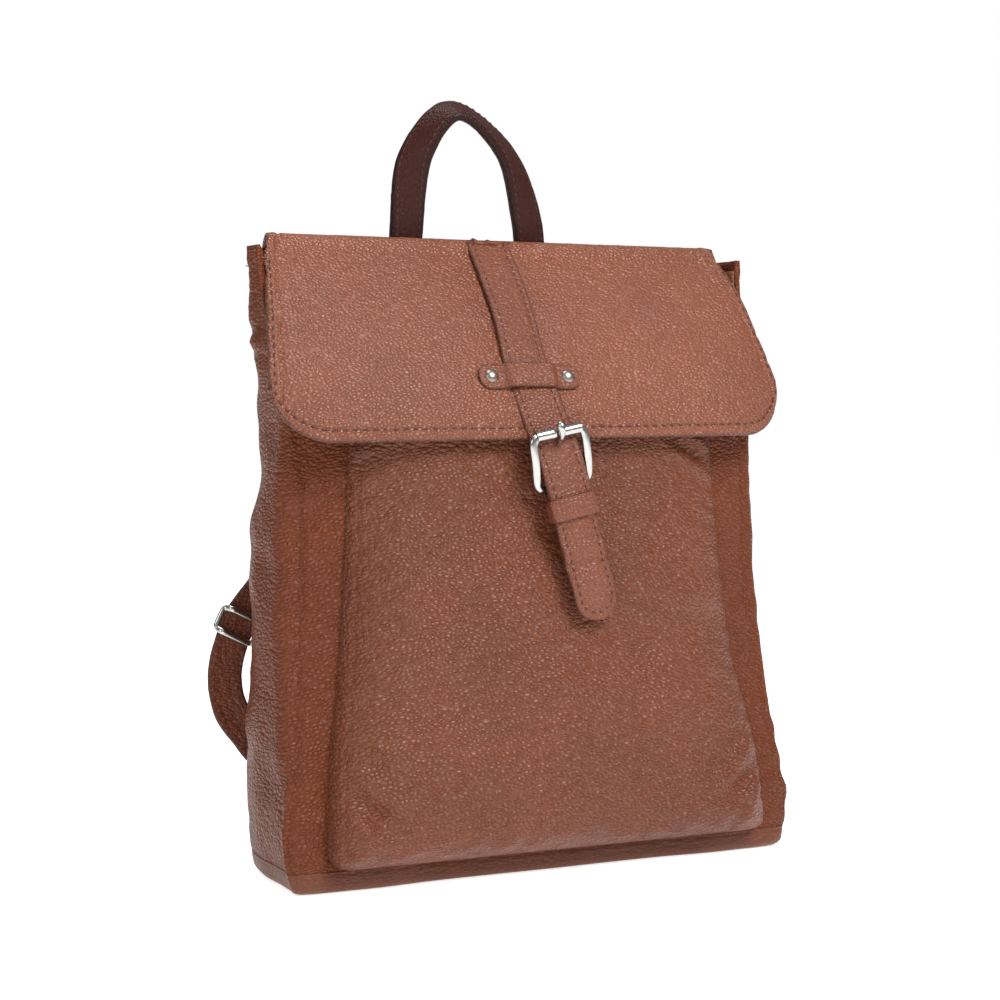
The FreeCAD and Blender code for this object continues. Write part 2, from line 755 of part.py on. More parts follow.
def back_strip(route, line, width, thickness, bend_radius):
    """Left-hand strap behind the back: a route in side view and a line in front view."""
    shifted = [(strap_plane() + y, z) for y, z in route]
    sheet = sheet_between(shifted, 0.0, -thickness, body_half_width * 2.0)
    return sheet.common(front_prism(ribbon_corners(line, width, bend_radius)))


def shoulder_strap():
    """Left shoulder strap: the wide upper part."""
    return back_strip(stretched_route(shoulder_route), stretched_line(shoulder_line), shoulder_width,
                      shoulder_thickness, shoulder_bend_radius)


def adjuster_strap():
    """Left adjuster: the narrow lower part, its top sewn under the shoulder strap."""
    face_y = strap_plane() + adjuster_stand_off - adjuster_thickness
    low_z = strap_z(adjuster_straight_low_z)
    straight = box(-2.0 * body_half_width, 0.0, face_y, face_y + adjuster_thickness,
                   low_z, strap_z(shoulder_line[-1][1]) + 19.0)
    foot_route = [(adjuster_stand_off - adjuster_thickness, low_z),
                  (adjuster_stand_off - adjuster_thickness, low_z - 4.0)] + stretched_route(adjuster_foot)
    shifted = [(strap_plane() + y, z) for y, z in foot_route]
    foot = sheet_between(shifted, 0.0, -adjuster_thickness, body_half_width * 2.0)
    outline = ribbon_corners(stretched_line(adjuster_line), adjuster_width, adjuster_bend_radius)
    return straight.fuse(foot).removeSplitter().common(front_prism(outline))


def slider_ring():
    """Left slider: a frame round the adjuster with a middle bar behind it."""
    line = stretched_line(adjuster_line)
    (x_high, z_high), (x_low, z_low) = line[1], line[2]
    lean = math.degrees(math.atan2(x_high - x_low, z_high - z_low))
    half_width = adjuster_width / 2.0 + slider_clearance
    half_depth = adjuster_thickness / 2.0 + slider_clearance
    half_height = slider_height / 2.0
    wire = slider_wire
    ring = Part.makeBox(2.0 * (half_width + wire), 2.0 * (half_depth + wire), slider_height,
                        Vector(-half_width - wire, -half_depth - wire, -half_height))
    ring = ring.makeFillet(1.0, ring.Edges)
    way = Part.makeBox(2.0 * half_width, 2.0 * half_depth, 2.0 * slider_height,
                       Vector(-half_width, -half_depth, -slider_height))
    window = Part.makeBox(2.0 * half_width, 10.0, slider_height - 2.0 * wire,
                          Vector(-half_width, -10.0, wire - half_height))
    ring = ring.cut([way, window])
    for end in (-1.0, 1.0):
        gap = (slider_height - 3.0 * wire) / 2.0
        middle = end * (wire + gap) / 2.0
        ring = ring.cut(Part.makeBox(2.0 * half_width, 10.0, gap,
                                     Vector(-half_width, 0.0, middle - gap / 2.0)))
    centre_y = strap_plane() + adjuster_stand_off - adjuster_thickness / 2.0
    centre_z = strap_z(slider_z)
    centre = Vector(line_x(line, centre_z), centre_y, centre_z)
    ring.Placement = Placement(centre, Rotation(Vector(0, 1, 0), lean))
    return ring


def mirrored(shape):
    """Right-hand copy of a left-hand piece."""
    return shape.mirror(Vector(0, 0, 0), Vector(1, 0, 0))


def all_nodes():
    """Every separate piece by name."""
    left_shoulder = shoulder_strap()
    left_adjuster = adjuster_strap()
    left_slider = slider_ring()
    return {
        "back_panel": back_panel(),
        "front_panel": front_panel(),
        "side_panel_left": side_panel(-1),
        "side_panel_right": side_panel(1),
        "bottom_panel": bottom_panel(),
        "base_board": base_board(),
        "lining": lining(),
        "mouth_facing": mouth_facing(),
        "front_pocket": front_pocket(),
        "snap_socket": snap_socket(),
        "back_yoke": back_yoke(),
        "strap_tab_left": strap_tab(-1),
        "strap_tab_right": strap_tab(1),
        "flap": flap(),
        "flap_lining": flap_lining(),
        "flap_strap": flap_strap(),
        "keeper_bridge": keeper_bridge(),
        "bridge_rivets": bridge_rivets(),
        "buckle_chape": buckle_chape(),
        "keeper_loop": keeper_loop(),
        "snap_stud": snap_stud(),
        "buckle_frame": buckle_frame(),
        "buckle_roller_left": buckle_roller(-1),
        "buckle_roller_right": buckle_roller(1),
        "buckle_prong": buckle_prong(),
        "handle": handle(),
        "shoulder_strap_left": left_shoulder,
        "shoulder_strap_right": mirrored(left_shoulder),
        "adjuster_strap_left": left_adjuster,
        "adjuster_strap_right": mirrored(left_adjuster),
        "slider_left": left_slider,
        "slider_right": mirrored(left_slider),
    }


def main():
    """Write one STEP file per piece."""
    os.makedirs("parts", exist_ok=True)
    for name, shape in all_nodes().items():
        shape.exportStep("parts/" + name + ".step")


main()
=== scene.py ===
"""Leather flap backpack: walls, pocket, flap, closing strap, buckle, handle and shoulder straps.

Lengths inside the classes are millimetres and become metres when a mesh is made. +X is to the
right seen from the front, +Y to the back, +Z up, and the origin is the middle of the base.
"""
import logging
import math
from dataclasses import dataclass, field
from enum import Enum
from typing import Sequence

import bmesh
import bpy
import numpy as np
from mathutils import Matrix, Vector


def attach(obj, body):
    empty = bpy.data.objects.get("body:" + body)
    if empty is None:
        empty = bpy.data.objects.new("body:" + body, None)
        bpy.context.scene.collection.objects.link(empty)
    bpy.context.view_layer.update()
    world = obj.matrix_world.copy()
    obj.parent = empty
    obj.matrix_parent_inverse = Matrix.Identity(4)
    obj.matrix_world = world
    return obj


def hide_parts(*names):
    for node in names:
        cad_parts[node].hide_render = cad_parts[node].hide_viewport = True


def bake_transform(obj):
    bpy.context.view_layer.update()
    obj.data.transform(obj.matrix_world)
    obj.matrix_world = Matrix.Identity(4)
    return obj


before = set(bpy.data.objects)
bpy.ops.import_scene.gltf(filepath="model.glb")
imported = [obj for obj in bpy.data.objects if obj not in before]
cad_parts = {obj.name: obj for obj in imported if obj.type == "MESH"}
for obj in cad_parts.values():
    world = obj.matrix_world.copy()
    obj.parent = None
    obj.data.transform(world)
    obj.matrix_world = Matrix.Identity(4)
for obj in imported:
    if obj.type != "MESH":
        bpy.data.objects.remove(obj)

LOG = logging.getLogger("backpack")
MM = 0.001
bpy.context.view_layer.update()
# Where the front corner seams run: 0 is the front's middle and 1 is the back's, round the bag.
CORNER_SEAM = 0.402


# ------------------------------------------------------------------ numbers and curves

def through(keys: Sequence[float], values: Sequence[float], at: np.ndarray) -> np.ndarray:
    """Smooth curve through (key, value) pairs.

    Cubic Hermite pieces whose slope at a key is the mean slope of its two neighbours.

    Args:
        keys: increasing key positions.
        values: value at each key.
        at: positions to evaluate.

    Returns:
        The value at each position, held level beyond the ends.
    """
    k = np.asarray(keys, float)
    v = np.asarray(values, float)
    slope = np.gradient(v, k)
    x = np.clip(at, k[0], k[-1])
    i = np.clip(np.searchsorted(k, x, side="right") - 1, 0, len(k) - 2)
    h = k[i + 1] - k[i]
    t = (x - k[i]) / h
    a = 2 * t**3 - 3 * t**2 + 1
    b = t**3 - 2 * t**2 + t
    c = -2 * t**3 + 3 * t**2
    d = t**3 - t**2
    return a * v[i] + b * h * slope[i] + c * v[i + 1] + d * h * slope[i + 1]


def length_along(path: np.ndarray) -> np.ndarray:
    """Distance along a path at each of its points."""
    return np.concatenate([[0.0], np.cumsum(np.linalg.norm(np.diff(path, axis=0), axis=1))])


def path_through(points: Sequence[Sequence[float]], count: int) -> np.ndarray:
    """Smooth path through points, evenly spaced along its length.

    Args:
        points: places the path passes, in order.
        count: how many samples to give.

    Returns:
        Array (count, 3).
    """
    p = np.asarray(points, float)
    steps = np.linalg.norm(np.diff(p, axis=0), axis=1)
    key = np.concatenate([[0.0], np.cumsum(np.sqrt(steps))])
    fine = np.linspace(0.0, key[-1], 1200)
    dense = np.stack([through(key, p[:, axis], fine) for axis in range(3)], -1)
    run = length_along(dense)
    even = np.linspace(0.0, run[-1], count)
    return np.stack([np.interp(even, run, dense[:, axis]) for axis in range(3)], -1)


def smooth_step(low: float, high: float, at: np.ndarray) -> np.ndarray:
    """Zero below low, one above high, and a smooth S between them."""
    t = np.clip((at - low) / (high - low), 0.0, 1.0)
    return t * t * (3.0 - 2.0 * t)


def ripple(x: np.ndarray, y: np.ndarray, seed: int, cells: int = 64) -> np.ndarray:
    """Smooth random height, about -1 to 1: random values on a lattice, blended between its nodes.

    Args:
        x: first coordinate, in lattice steps.
        y: second coordinate, in lattice steps.
        seed: which lattice.
        cells: lattice size before it repeats.

    Returns:
        Height at each place.
    """
    lattice = np.random.default_rng(seed).uniform(-1.0, 1.0, (cells, cells))
    ix = np.floor(x).astype(int)
    iy = np.floor(y).astype(int)
    fx = x - ix
    fy = y - iy
    fx = fx**3 * (fx * (6 * fx - 15) + 10)
    fy = fy**3 * (fy * (6 * fy - 15) + 10)
    ix, jx = ix % cells, (ix + 1) % cells
    iy, jy = iy % cells, (iy + 1) % cells
    low = lattice[ix, iy] * (1 - fx) + lattice[jx, iy] * fx
    high = lattice[ix, jy] * (1 - fx) + lattice[jx, jy] * fx
    return low * (1 - fy) + high * fy


def unit(v: np.ndarray) -> np.ndarray:
    """Vectors scaled to length one."""
    return v / np.maximum(np.linalg.norm(v, axis=-1, keepdims=True), 1e-12)


def surface_normals(grid: np.ndarray) -> np.ndarray:
    """Unit normals of a surface grid: row direction crossed with column direction."""
    return unit(np.cross(np.gradient(grid, axis=0), np.gradient(grid, axis=1)))


# ------------------------------------------------------------------ finishes

@dataclass(frozen=True)
class Leather:
    """Pebbled leather.

    Attributes:
        name: material name.
        base: main colour.
        crease: painted shade colour in the creases between the pebbles.
        top_highlight: painted highlight colour on the pebble tops.
        pebble_mm: width of a pebble.
        stretch: how much the pebbles are stretched along X, Y and Z.
        relief: strength of the grain.
        roughness: mean roughness.
        gloss: level of the shine.
    """

    name: str
    base: tuple
    crease: tuple
    top_highlight: tuple
    pebble_mm: float = 2.2
    stretch: tuple = (1.0, 1.0, 1.0)
    relief: float = 0.5
    roughness: float = 0.42
    gloss: float = 0.3

    def make(self) -> bpy.types.Material:
        """Grain from a warped cell pattern; colour by broad patches, with painted shade in the creases
        and a painted highlight on the pebble tops.

        A pebble's height falls with the square of the distance from its cell's middle, times a ramp
        that drops at the cell's edge; fine noise and broad folds are added to it.

        Returns:
            The material.
        """
        mat, kit = new_material(self.name)
        bsdf = kit.bsdf
        coord = kit.add("ShaderNodeTexCoord").outputs["Object"]
        place = kit.add("ShaderNodeMapping")
        place.inputs["Scale"].default_value = tuple(1.0 / s for s in self.stretch)
        kit.join(coord, place.inputs["Vector"])
        warp = kit.noise(place.outputs["Vector"], 1.0 / (self.pebble_mm * 4.5 * MM), 0.0)
        bend = kit.vector("MULTIPLY_ADD", warp.outputs["Color"], (self.pebble_mm * 1.3 * MM,) * 3,
                          place.outputs["Vector"])
        edge = kit.add("ShaderNodeTexVoronoi")
        edge.feature = "DISTANCE_TO_EDGE"
        edge.inputs["Scale"].default_value = 1.0 / (self.pebble_mm * MM)
        kit.join(bend, edge.inputs["Vector"])
        middle = kit.add("ShaderNodeTexVoronoi")
        middle.inputs["Scale"].default_value = 1.0 / (self.pebble_mm * MM)
        kit.join(bend, middle.inputs["Vector"])
        away = middle.outputs["Distance"]
        fall = kit.math("MULTIPLY", kit.math("MULTIPLY", away, away), 1.5)
        round_top = kit.math("SUBTRACT", 1.0, fall)
        crease = kit.ramp(edge.outputs["Distance"], [(0.0, 0.45), (0.14, 1.0)])
        dome = kit.math("MULTIPLY", round_top, crease)
        fine = kit.noise(coord, 2600.0, 2.0)
        pores = kit.math("MULTIPLY_ADD", fine.outputs["Fac"], 0.04, dome)
        folds = kit.noise(place.outputs["Vector"], 130.0, 3.0)
        height = kit.math("MULTIPLY_ADD", folds.outputs["Fac"], 0.55, pores)
        bump = kit.add("ShaderNodeBump")
        bump.inputs["Strength"].default_value = self.relief
        bump.inputs["Distance"].default_value = self.pebble_mm * 0.36 * MM
        kit.join(height, bump.inputs["Height"])
        kit.join(bump.outputs["Normal"], bsdf.inputs["Normal"])
        patches = kit.noise(coord, 16.0, 3.0)
        patch = kit.ramp(patches.outputs["Fac"], [(0.30, 0.0), (0.70, 1.0)])
        tone = kit.mix(patch, self.base, tuple(c * 0.80 for c in self.base))
        # Painted highlight: the pebble tops are blended toward a lighter colour.
        top = kit.math("MULTIPLY", kit.ramp(edge.outputs["Distance"], [(0.16, 0.0), (0.5, 1.0)]), 0.55)
        highlighted_tops = kit.mix(top, tone, self.top_highlight)
        # Painted shade: the creases between the pebbles are blended toward a darker colour.
        shade = kit.ramp(edge.outputs["Distance"], [(0.0, 0.34), (0.14, 0.0)])
        colour = kit.mix(shade, highlighted_tops, self.crease)
        rim = kit.add("ShaderNodeAttribute")
        rim.attribute_name = "rim"
        colour = kit.mix(kit.math("MULTIPLY", rim.outputs["Fac"], 0.75), colour,
                         tuple(c * 0.30 for c in self.base))
        kit.join(colour, bsdf.inputs["Base Color"])
        rough = kit.math("MULTIPLY_ADD", patches.outputs["Fac"], 0.16, self.roughness - 0.08)
        kit.join(kit.math("MULTIPLY_ADD", shade, 0.25, rough), bsdf.inputs["Roughness"])
        bsdf.inputs["Specular IOR Level"].default_value = self.gloss
        return mat


@dataclass(frozen=True)
class Thread:
    """Waxed sewing thread with its twist."""

    name: str
    base: tuple

    def make(self) -> bpy.types.Material:
        """Dark thread, its colour broken up by a fine slanting pattern."""
        mat, kit = new_material(self.name)
        coord = kit.add("ShaderNodeTexCoord").outputs["Object"]
        twist = kit.noise(coord, 3200.0, 1.0)
        colour = kit.mix(twist.outputs["Fac"], self.base, tuple(c * 0.45 for c in self.base))
        kit.join(colour, kit.bsdf.inputs["Base Color"])
        kit.bsdf.inputs["Roughness"].default_value = 0.55
        return mat


@dataclass(frozen=True)
class Metal:
    """Plated metal with faint handling marks."""

    name: str
    base: tuple
    roughness: float = 0.12
    marks: float = 0.10

    def make(self) -> bpy.types.Material:
        """Metal whose roughness and tone vary in soft patches and fine scratches.

        Returns:
            The material.
        """
        mat, kit = new_material(self.name)
        coord = kit.add("ShaderNodeTexCoord").outputs["Object"]
        cloud = kit.noise(coord, 420.0, 4.0)
        scratch = kit.add("ShaderNodeMapping")
        scratch.inputs["Scale"].default_value = (600.0, 5200.0, 900.0)
        kit.join(coord, scratch.inputs["Vector"])
        line = kit.noise(scratch.outputs["Vector"], 1.0, 2.0)
        mixed = kit.math("MULTIPLY_ADD", line.outputs["Fac"], self.marks,
                         kit.math("MULTIPLY", cloud.outputs["Fac"], self.marks))
        rough = kit.math("ADD", mixed, self.roughness - self.marks * 0.6)
        kit.join(rough, kit.bsdf.inputs["Roughness"])
        tone = kit.mix(cloud.outputs["Fac"], self.base, tuple(c * 0.72 for c in self.base))
        kit.join(tone, kit.bsdf.inputs["Base Color"])
        kit.bsdf.inputs["Metallic"].default_value = 1.0
        return mat


@dataclass(frozen=True)
class Twill:
    """Woven lining cloth."""

    name: str
    base: tuple

    def make(self) -> bpy.types.Material:
        """Diagonal twill ribs from a wave pattern, with thread-scale unevenness.

        Returns:
            The material.
        """
        mat, kit = new_material(self.name)
        coord = kit.add("ShaderNodeTexCoord").outputs["Object"]
        wave = kit.add("ShaderNodeTexWave")
        wave.bands_direction = "DIAGONAL"
        wave.inputs["Scale"].default_value = 260.0
        wave.inputs["Distortion"].default_value = 0.6
        kit.join(coord, wave.inputs["Vector"])
        slub = kit.noise(coord, 900.0, 2.0)
        height = kit.math("MULTIPLY_ADD", slub.outputs["Fac"], 0.5, wave.outputs["Fac"])
        bump = kit.add("ShaderNodeBump")
        bump.inputs["Strength"].default_value = 0.4
        bump.inputs["Distance"].default_value = 0.0002
        kit.join(height, bump.inputs["Height"])
        kit.join(bump.outputs["Normal"], kit.bsdf.inputs["Normal"])
        colour = kit.mix(wave.outputs["Fac"], self.base, tuple(c * 0.6 for c in self.base))
        kit.join(colour, kit.bsdf.inputs["Base Color"])
        kit.bsdf.inputs["Roughness"].default_value = 0.85
        return mat


@dataclass(frozen=True)
class Paper:
    """Plain backdrop paper."""

    name: str
    base: tuple

    def make(self) -> bpy.types.Material:
        """Matt paper that glows a little, its tone barely uneven.

        Returns:
            The material.
        """
        mat, kit = new_material(self.name)
        coord = kit.add("ShaderNodeTexCoord").outputs["Object"]
        cloud = kit.noise(coord, 3.0, 2.0)
        tone = kit.mix(cloud.outputs["Fac"], self.base, tuple(c * 0.99 for c in self.base))
        kit.join(tone, kit.bsdf.inputs["Base Color"])
        kit.bsdf.inputs["Roughness"].default_value = 0.9
        kit.bsdf.inputs["Emission Color"].default_value = (1.0, 1.0, 1.0, 1.0)
        kit.bsdf.inputs["Emission Strength"].default_value = 0.72
        return mat


class NodeKit:
    """Short-hand for building a material's nodes."""

    def __init__(self, tree: bpy.types.NodeTree, bsdf: bpy.types.Node) -> None:
        """Keeps the tree and its main shader."""
        self.tree = tree
        self.bsdf = bsdf

    def add(self, kind: str) -> bpy.types.Node:
        """New node of a kind."""
        return self.tree.nodes.new(kind)

    def join(self, source: bpy.types.NodeSocket, target: bpy.types.NodeSocket) -> None:
        """Link two sockets."""
        self.tree.links.new(source, target)

    def put(self, value: object, target: bpy.types.NodeSocket) -> None:
        """Feed a socket from a number, a colour or another socket."""
        if isinstance(value, bpy.types.NodeSocket):
            self.join(value, target)
        elif isinstance(value, tuple) and len(value) == 3 and len(target.default_value) == 4:
            target.default_value = (*value, 1.0)
        else:
            target.default_value = value

    def noise(self, vector: bpy.types.NodeSocket, scale: float, detail: float) -> bpy.types.Node:
        """Cloud noise."""
        node = self.add("ShaderNodeTexNoise")
        node.inputs["Scale"].default_value = scale
        node.inputs["Detail"].default_value = detail
        self.join(vector, node.inputs["Vector"])
        return node

    def math(self, operation: str, *values: object) -> bpy.types.NodeSocket:
        """Math node on numbers or sockets."""
        node = self.add("ShaderNodeMath")
        node.operation = operation
        for value, target in zip(values, node.inputs):
            self.put(value, target)
        return node.outputs[0]

    def vector(self, operation: str, *values: object) -> bpy.types.NodeSocket:
        """Vector math node."""
        node = self.add("ShaderNodeVectorMath")
        node.operation = operation
        for value, target in zip(values, node.inputs):
            self.put(value, target)
        return node.outputs[0]

    def ramp(self, value: bpy.types.NodeSocket, stops: Sequence[tuple]) -> bpy.types.NodeSocket:
        """Grey ramp.

        Args:
            value: socket that drives it.
            stops: (position, level) pairs, in order.

        Returns:
            The ramp's colour socket.
        """
        node = self.add("ShaderNodeValToRGB")
        ramp = node.color_ramp
        while len(ramp.elements) < len(stops):
            ramp.elements.new(0.5)
        for element, (position, level) in zip(ramp.elements, stops):
            element.position = position
            element.color = (level, level, level, 1.0)
        self.join(value, node.inputs["Fac"])
        return node.outputs["Color"]

    def mix(self, factor: object, first: object, second: object) -> bpy.types.NodeSocket:
        """Colour mix."""
        node = self.add("ShaderNodeMix")
        node.data_type = "RGBA"
        self.put(factor, node.inputs["Factor"])
        self.put(first, node.inputs[6])
        self.put(second, node.inputs[7])
        return node.outputs[2]


def new_material(name: str) -> tuple:
    """Empty material and its node kit."""
    mat = bpy.data.materials.new(name)
    mat.use_nodes = True
    return mat, NodeKit(mat.node_tree, mat.node_tree.nodes["Principled BSDF"])


class Finish(Enum):
    """The bag's finishes."""

    FRONT = Leather("grained_front", (0.145, 0.036, 0.013), (0.055, 0.012, 0.005),
                    (0.180, 0.052, 0.024), 2.0, (1.5, 1.2, 0.95), 1.0, 0.34, 0.32)
    FLAP = Leather("grained_flap", (0.200, 0.058, 0.026), (0.085, 0.021, 0.009),
                   (0.240, 0.080, 0.044), 1.8, (1.3, 1.0, 0.95), 1.0, 0.31, 0.42)
    SIDE = Leather("grained_side", (0.138, 0.032, 0.010), (0.050, 0.011, 0.004),
                   (0.168, 0.045, 0.018), 2.1, (1.4, 1.6, 0.9), 1.0, 0.36, 0.18)
    STRAP = Leather("grained_strap", (0.165, 0.045, 0.020), (0.070, 0.017, 0.008),
                    (0.200, 0.064, 0.034), 1.7, (1.4, 1.0, 0.9), 0.7, 0.34, 0.34)
    HANDLE = Leather("dark_handle", (0.036, 0.008, 0.005), (0.018, 0.004, 0.003),
                     (0.050, 0.014, 0.009), 1.5, (1.0, 1.0, 2.0), 0.45, 0.38, 0.16)
    FACING = Leather("tan_facing", (0.240, 0.085, 0.036), (0.120, 0.036, 0.015),
                     (0.300, 0.125, 0.065), 1.8, (1.0, 1.0, 1.0), 0.35, 0.48)
    BASE = Leather("smooth_base", (0.125, 0.034, 0.013), (0.055, 0.014, 0.006),
                   (0.150, 0.047, 0.022), 1.7, (1.6, 1.4, 0.9), 0.35, 0.42)
    THREAD = Thread("sewing_thread", (0.050, 0.013, 0.007))
    NICKEL = Metal("bright_nickel", (0.50, 0.49, 0.47), 0.16, 0.10)
    AGED = Metal("dull_nickel", (0.42, 0.37, 0.31), 0.30, 0.14)
    RIVET = Metal("rivet_nickel", (0.30, 0.27, 0.24), 0.30, 0.14)
    PAPER = Paper("floor_paper", (0.93, 0.93, 0.92))
    LINING = Twill("twill_lining", (0.120, 0.075, 0.050))
    BOARD = Twill("board_fibre", (0.06, 0.055, 0.05))

    def material(self) -> bpy.types.Material:
        """The finish's material, made on first use."""
        return bpy.data.materials.get(self.value.name) or self.value.make()


# ------------------------------------------------------------------ making meshes

def new_piece(name: str, verts: np.ndarray, faces: Sequence, finish: Finish,
              rim: np.ndarray | None = None) -> bpy.types.Object:
    """Mesh object from millimetre vertices.

    Args:
        name: object name.
        verts: (n, 3) places in millimetres.
        faces: index rows, all quads or a mixed list.
        finish: the piece's finish.
        rim: how far each vertex belongs to the painted edge, 0 to 1.

    Returns:
        The object, shaded smooth.
    """
    mesh = bpy.data.meshes.new(name)
    rows = faces.tolist() if isinstance(faces, np.ndarray) else faces
    mesh.from_pydata((np.asarray(verts) * MM).tolist(), [], rows)
    if rim is not None:
        layer = mesh.attributes.new("rim", "FLOAT", "POINT")
        layer.data.foreach_set("value", np.asarray(rim, np.float32))
    mesh.polygons.foreach_set("use_smooth", np.ones(len(mesh.polygons), bool))
    mesh.update()
    mesh.validate()
    piece = bpy.data.objects.new(name, mesh)
    bpy.context.scene.collection.objects.link(piece)
    mesh.materials.append(finish.material())
    return piece


def grid_faces(rows: int, columns: int, wrap: bool = False) -> np.ndarray:
    """Quads of a grid, each running down the rows and then along the columns.

    Args:
        rows: vertices down.
        columns: vertices across.
        wrap: join the last column to the first.

    Returns:
        Array (quads, 4).
    """
    index = np.arange(rows * columns).reshape(rows, columns)
    if wrap:
        index = np.concatenate([index, index[:, :1]], axis=1)
    return np.stack([index[:-1, :-1], index[1:, :-1], index[1:, 1:], index[:-1, 1:]],
                    -1).reshape(-1, 4)


def loop_faces(count: int, around: int) -> np.ndarray:
    """Quads of a tube whose last ring meets its first.

    Args:
        count: rings along the tube.
        around: vertices in a ring.

    Returns:
        Array (quads, 4).
    """
    index = np.arange(count * around).reshape(count, around)
    after = np.roll(index, -1, 0)
    return np.stack([index, np.roll(index, -1, 1), np.roll(after, -1, 1), after], -1).reshape(-1, 4)


def slab(name: str, outer: np.ndarray, thickness: float, finish: Finish,
         steps: int = 5) -> bpy.types.Object:
    """Leather sheet of even thickness with rounded edges.

    The back is the front moved inward along its normals, and the border between them is a half
    circle swept round the outline.

    Args:
        name: object name.
        outer: front surface, (rows, columns, 3), row direction crossed with column direction out.
        thickness: leather thickness.
        finish: the piece's finish.
        steps: parts in the half circle.

    Returns:
        The closed piece.
    """
    rows, columns = outer.shape[:2]
    normal = surface_normals(outer)
    inner = outer - normal * thickness
    index = np.arange(rows * columns).reshape(rows, columns)
    loop = np.concatenate([index[0, :-1], index[:-1, -1], index[-1, :0:-1], index[:0:-1, 0]])
    near = np.concatenate([index[1, :-1], index[:-1, -2], index[-2, :0:-1], index[:0:-1, 1]])
    flat = outer.reshape(-1, 3)
    edge = flat[loop]
    out = unit(np.cross(np.roll(edge, -1, 0) - np.roll(edge, 1, 0), normal.reshape(-1, 3)[loop]))
    out = out * np.sign(np.sum(out * (edge - flat[near])))
    middle = edge - normal.reshape(-1, 3)[loop] * thickness / 2
    count = rows * columns
    verts = [flat, inner.reshape(-1, 3)]
    rings = [loop]
    for step in range(1, steps):
        angle = math.pi * step / steps
        verts.append(middle + (normal.reshape(-1, 3)[loop] * math.cos(angle)
                               + out * math.sin(angle)) * thickness / 2)
        rings.append(2 * count + (step - 1) * len(loop) + np.arange(len(loop)))
    rings.append(loop + count)
    front = grid_faces(rows, columns)
    faces = [front, front[:, ::-1] + count]
    for upper, lower in zip(rings[:-1], rings[1:]):
        faces.append(np.stack([upper, np.roll(upper, -1), np.roll(lower, -1), lower], -1))
    rim = np.zeros(2 * count + (steps - 1) * len(loop))
    rim[2 * count:] = 1.0
    rim[loop] = 0.35
    rim[loop + count] = 0.8
    return new_piece(name, np.concatenate(verts), np.concatenate(faces), finish, rim)


def stitches(name: str, path: np.ndarray, normal: np.ndarray, pitch: float, finish: Finish,
             radius: float = 0.36, share: float = 0.62) -> bpy.types.Object:
    """Row of sewn stitches lying on a surface.

    Each is a six-sided spindle laid along the path and sunk at both ends.

    Args:
        name: object name.
        path: (n, 3) line of the seam.
        normal: (n, 3) surface directions along it.
        pitch: distance between stitches.
        finish: thread.
        radius: thread radius.
        share: part of the pitch that shows.

    Returns:
        All the stitches as one mesh.
    """
    run = length_along(path)
    count = max(int(run[-1] / pitch), 1)
    start = (np.arange(count) + 0.5 - share / 2) * run[-1] / count
    end = (np.arange(count) + 0.5 + share / 2) * run[-1] / count
    first = np.stack([np.interp(start, run, path[:, k]) for k in range(3)], -1)
    last = np.stack([np.interp(end, run, path[:, k]) for k in range(3)], -1)
    up = unit(np.stack([np.interp((start + end) / 2, run, normal[:, k]) for k in range(3)], -1))
    along = unit(last - first)
    side = np.cross(along, up)
    ring = np.arange(6) * math.pi / 3
    shape = [(0.0, 0.35, -0.75), (0.16, 0.85, 0.10), (0.5, 1.0, 0.45), (0.84, 0.85, 0.10),
             (1.0, 0.35, -0.75)]
    parts = []
    each = len(shape) * len(ring)
    for place, size, lift in shape:
        centre = first + (last - first) * place + up * radius * lift
        around = (side[:, None] * np.cos(ring)[:, None] + up[:, None] * np.sin(ring)[:, None])
        parts.append(centre[:, None] + around * radius * size)
    verts = np.stack(parts, 1).reshape(-1, 3)
    base = np.arange(count)[:, None, None] * each
    quad = (grid_faces(len(shape), len(ring), wrap=True)[None] + base).reshape(-1, 4)
    caps = []
    for offset in (0, each - len(ring)):
        cap = np.arange(len(ring)) + offset
        caps.append((cap if offset else cap[::-1])[None] + base[:, 0])
    faces = quad.tolist() + np.concatenate(caps).tolist()
    piece = new_piece(name, verts, faces, finish)
    turn_outward(piece)
    return piece


def turn_outward(piece: bpy.types.Object) -> None:
    """Point a closed mesh's faces outward."""
    work = bmesh.new()
    work.from_mesh(piece.data)
    bmesh.ops.recalc_face_normals(work, faces=work.faces)
    work.to_mesh(piece.data)
    work.free()


def close_poles(piece: bpy.types.Object) -> None:
    """Merge coincident points, fill the open ends and point the faces outward."""
    work = bmesh.new()
    work.from_mesh(piece.data)
    bmesh.ops.remove_doubles(work, verts=work.verts, dist=1e-5)
    rim = [edge for edge in work.edges if edge.is_boundary]
    if rim:
        bmesh.ops.holes_fill(work, edges=rim, sides=0)
    bmesh.ops.recalc_face_normals(work, faces=work.faces)
    work.to_mesh(piece.data)
    work.free()


def bake(piece: bpy.types.Object) -> None:
    """Apply a piece's modifiers."""
    graph = bpy.context.evaluated_depsgraph_get()
    mesh = bpy.data.meshes.new_from_object(piece.evaluated_get(graph))
    piece.modifiers.clear()
    piece.data = mesh


def thicken(piece: bpy.types.Object, depth: float) -> None:
    """Give an open skin its thickness inward and apply it."""
    wall = piece.modifiers.new("thickness", "SOLIDIFY")
    wall.thickness = depth * MM
    wall.offset = -1.0
    bake(piece)


def cup(name: str, rings: np.ndarray, finish: Finish) -> bpy.types.Object:
    """Rings stacked from the top down, the last one closed by a fan to its middle.

    Args:
        name: object name.
        rings: (rows, columns, 3) points.
        finish: its finish.

    Returns:
        The open-topped skin.
    """
    rows, columns = rings.shape[:2]
    verts = np.concatenate([rings.reshape(-1, 3), rings[-1].mean(0)[None]])
    last = (rows - 1) * columns + np.arange(columns)
    fan = np.stack([last, np.full(columns, rows * columns), np.roll(last, -1)], -1)
    return new_piece(name, verts, grid_faces(rows, columns, wrap=True).tolist() + fan.tolist(),
                     finish)


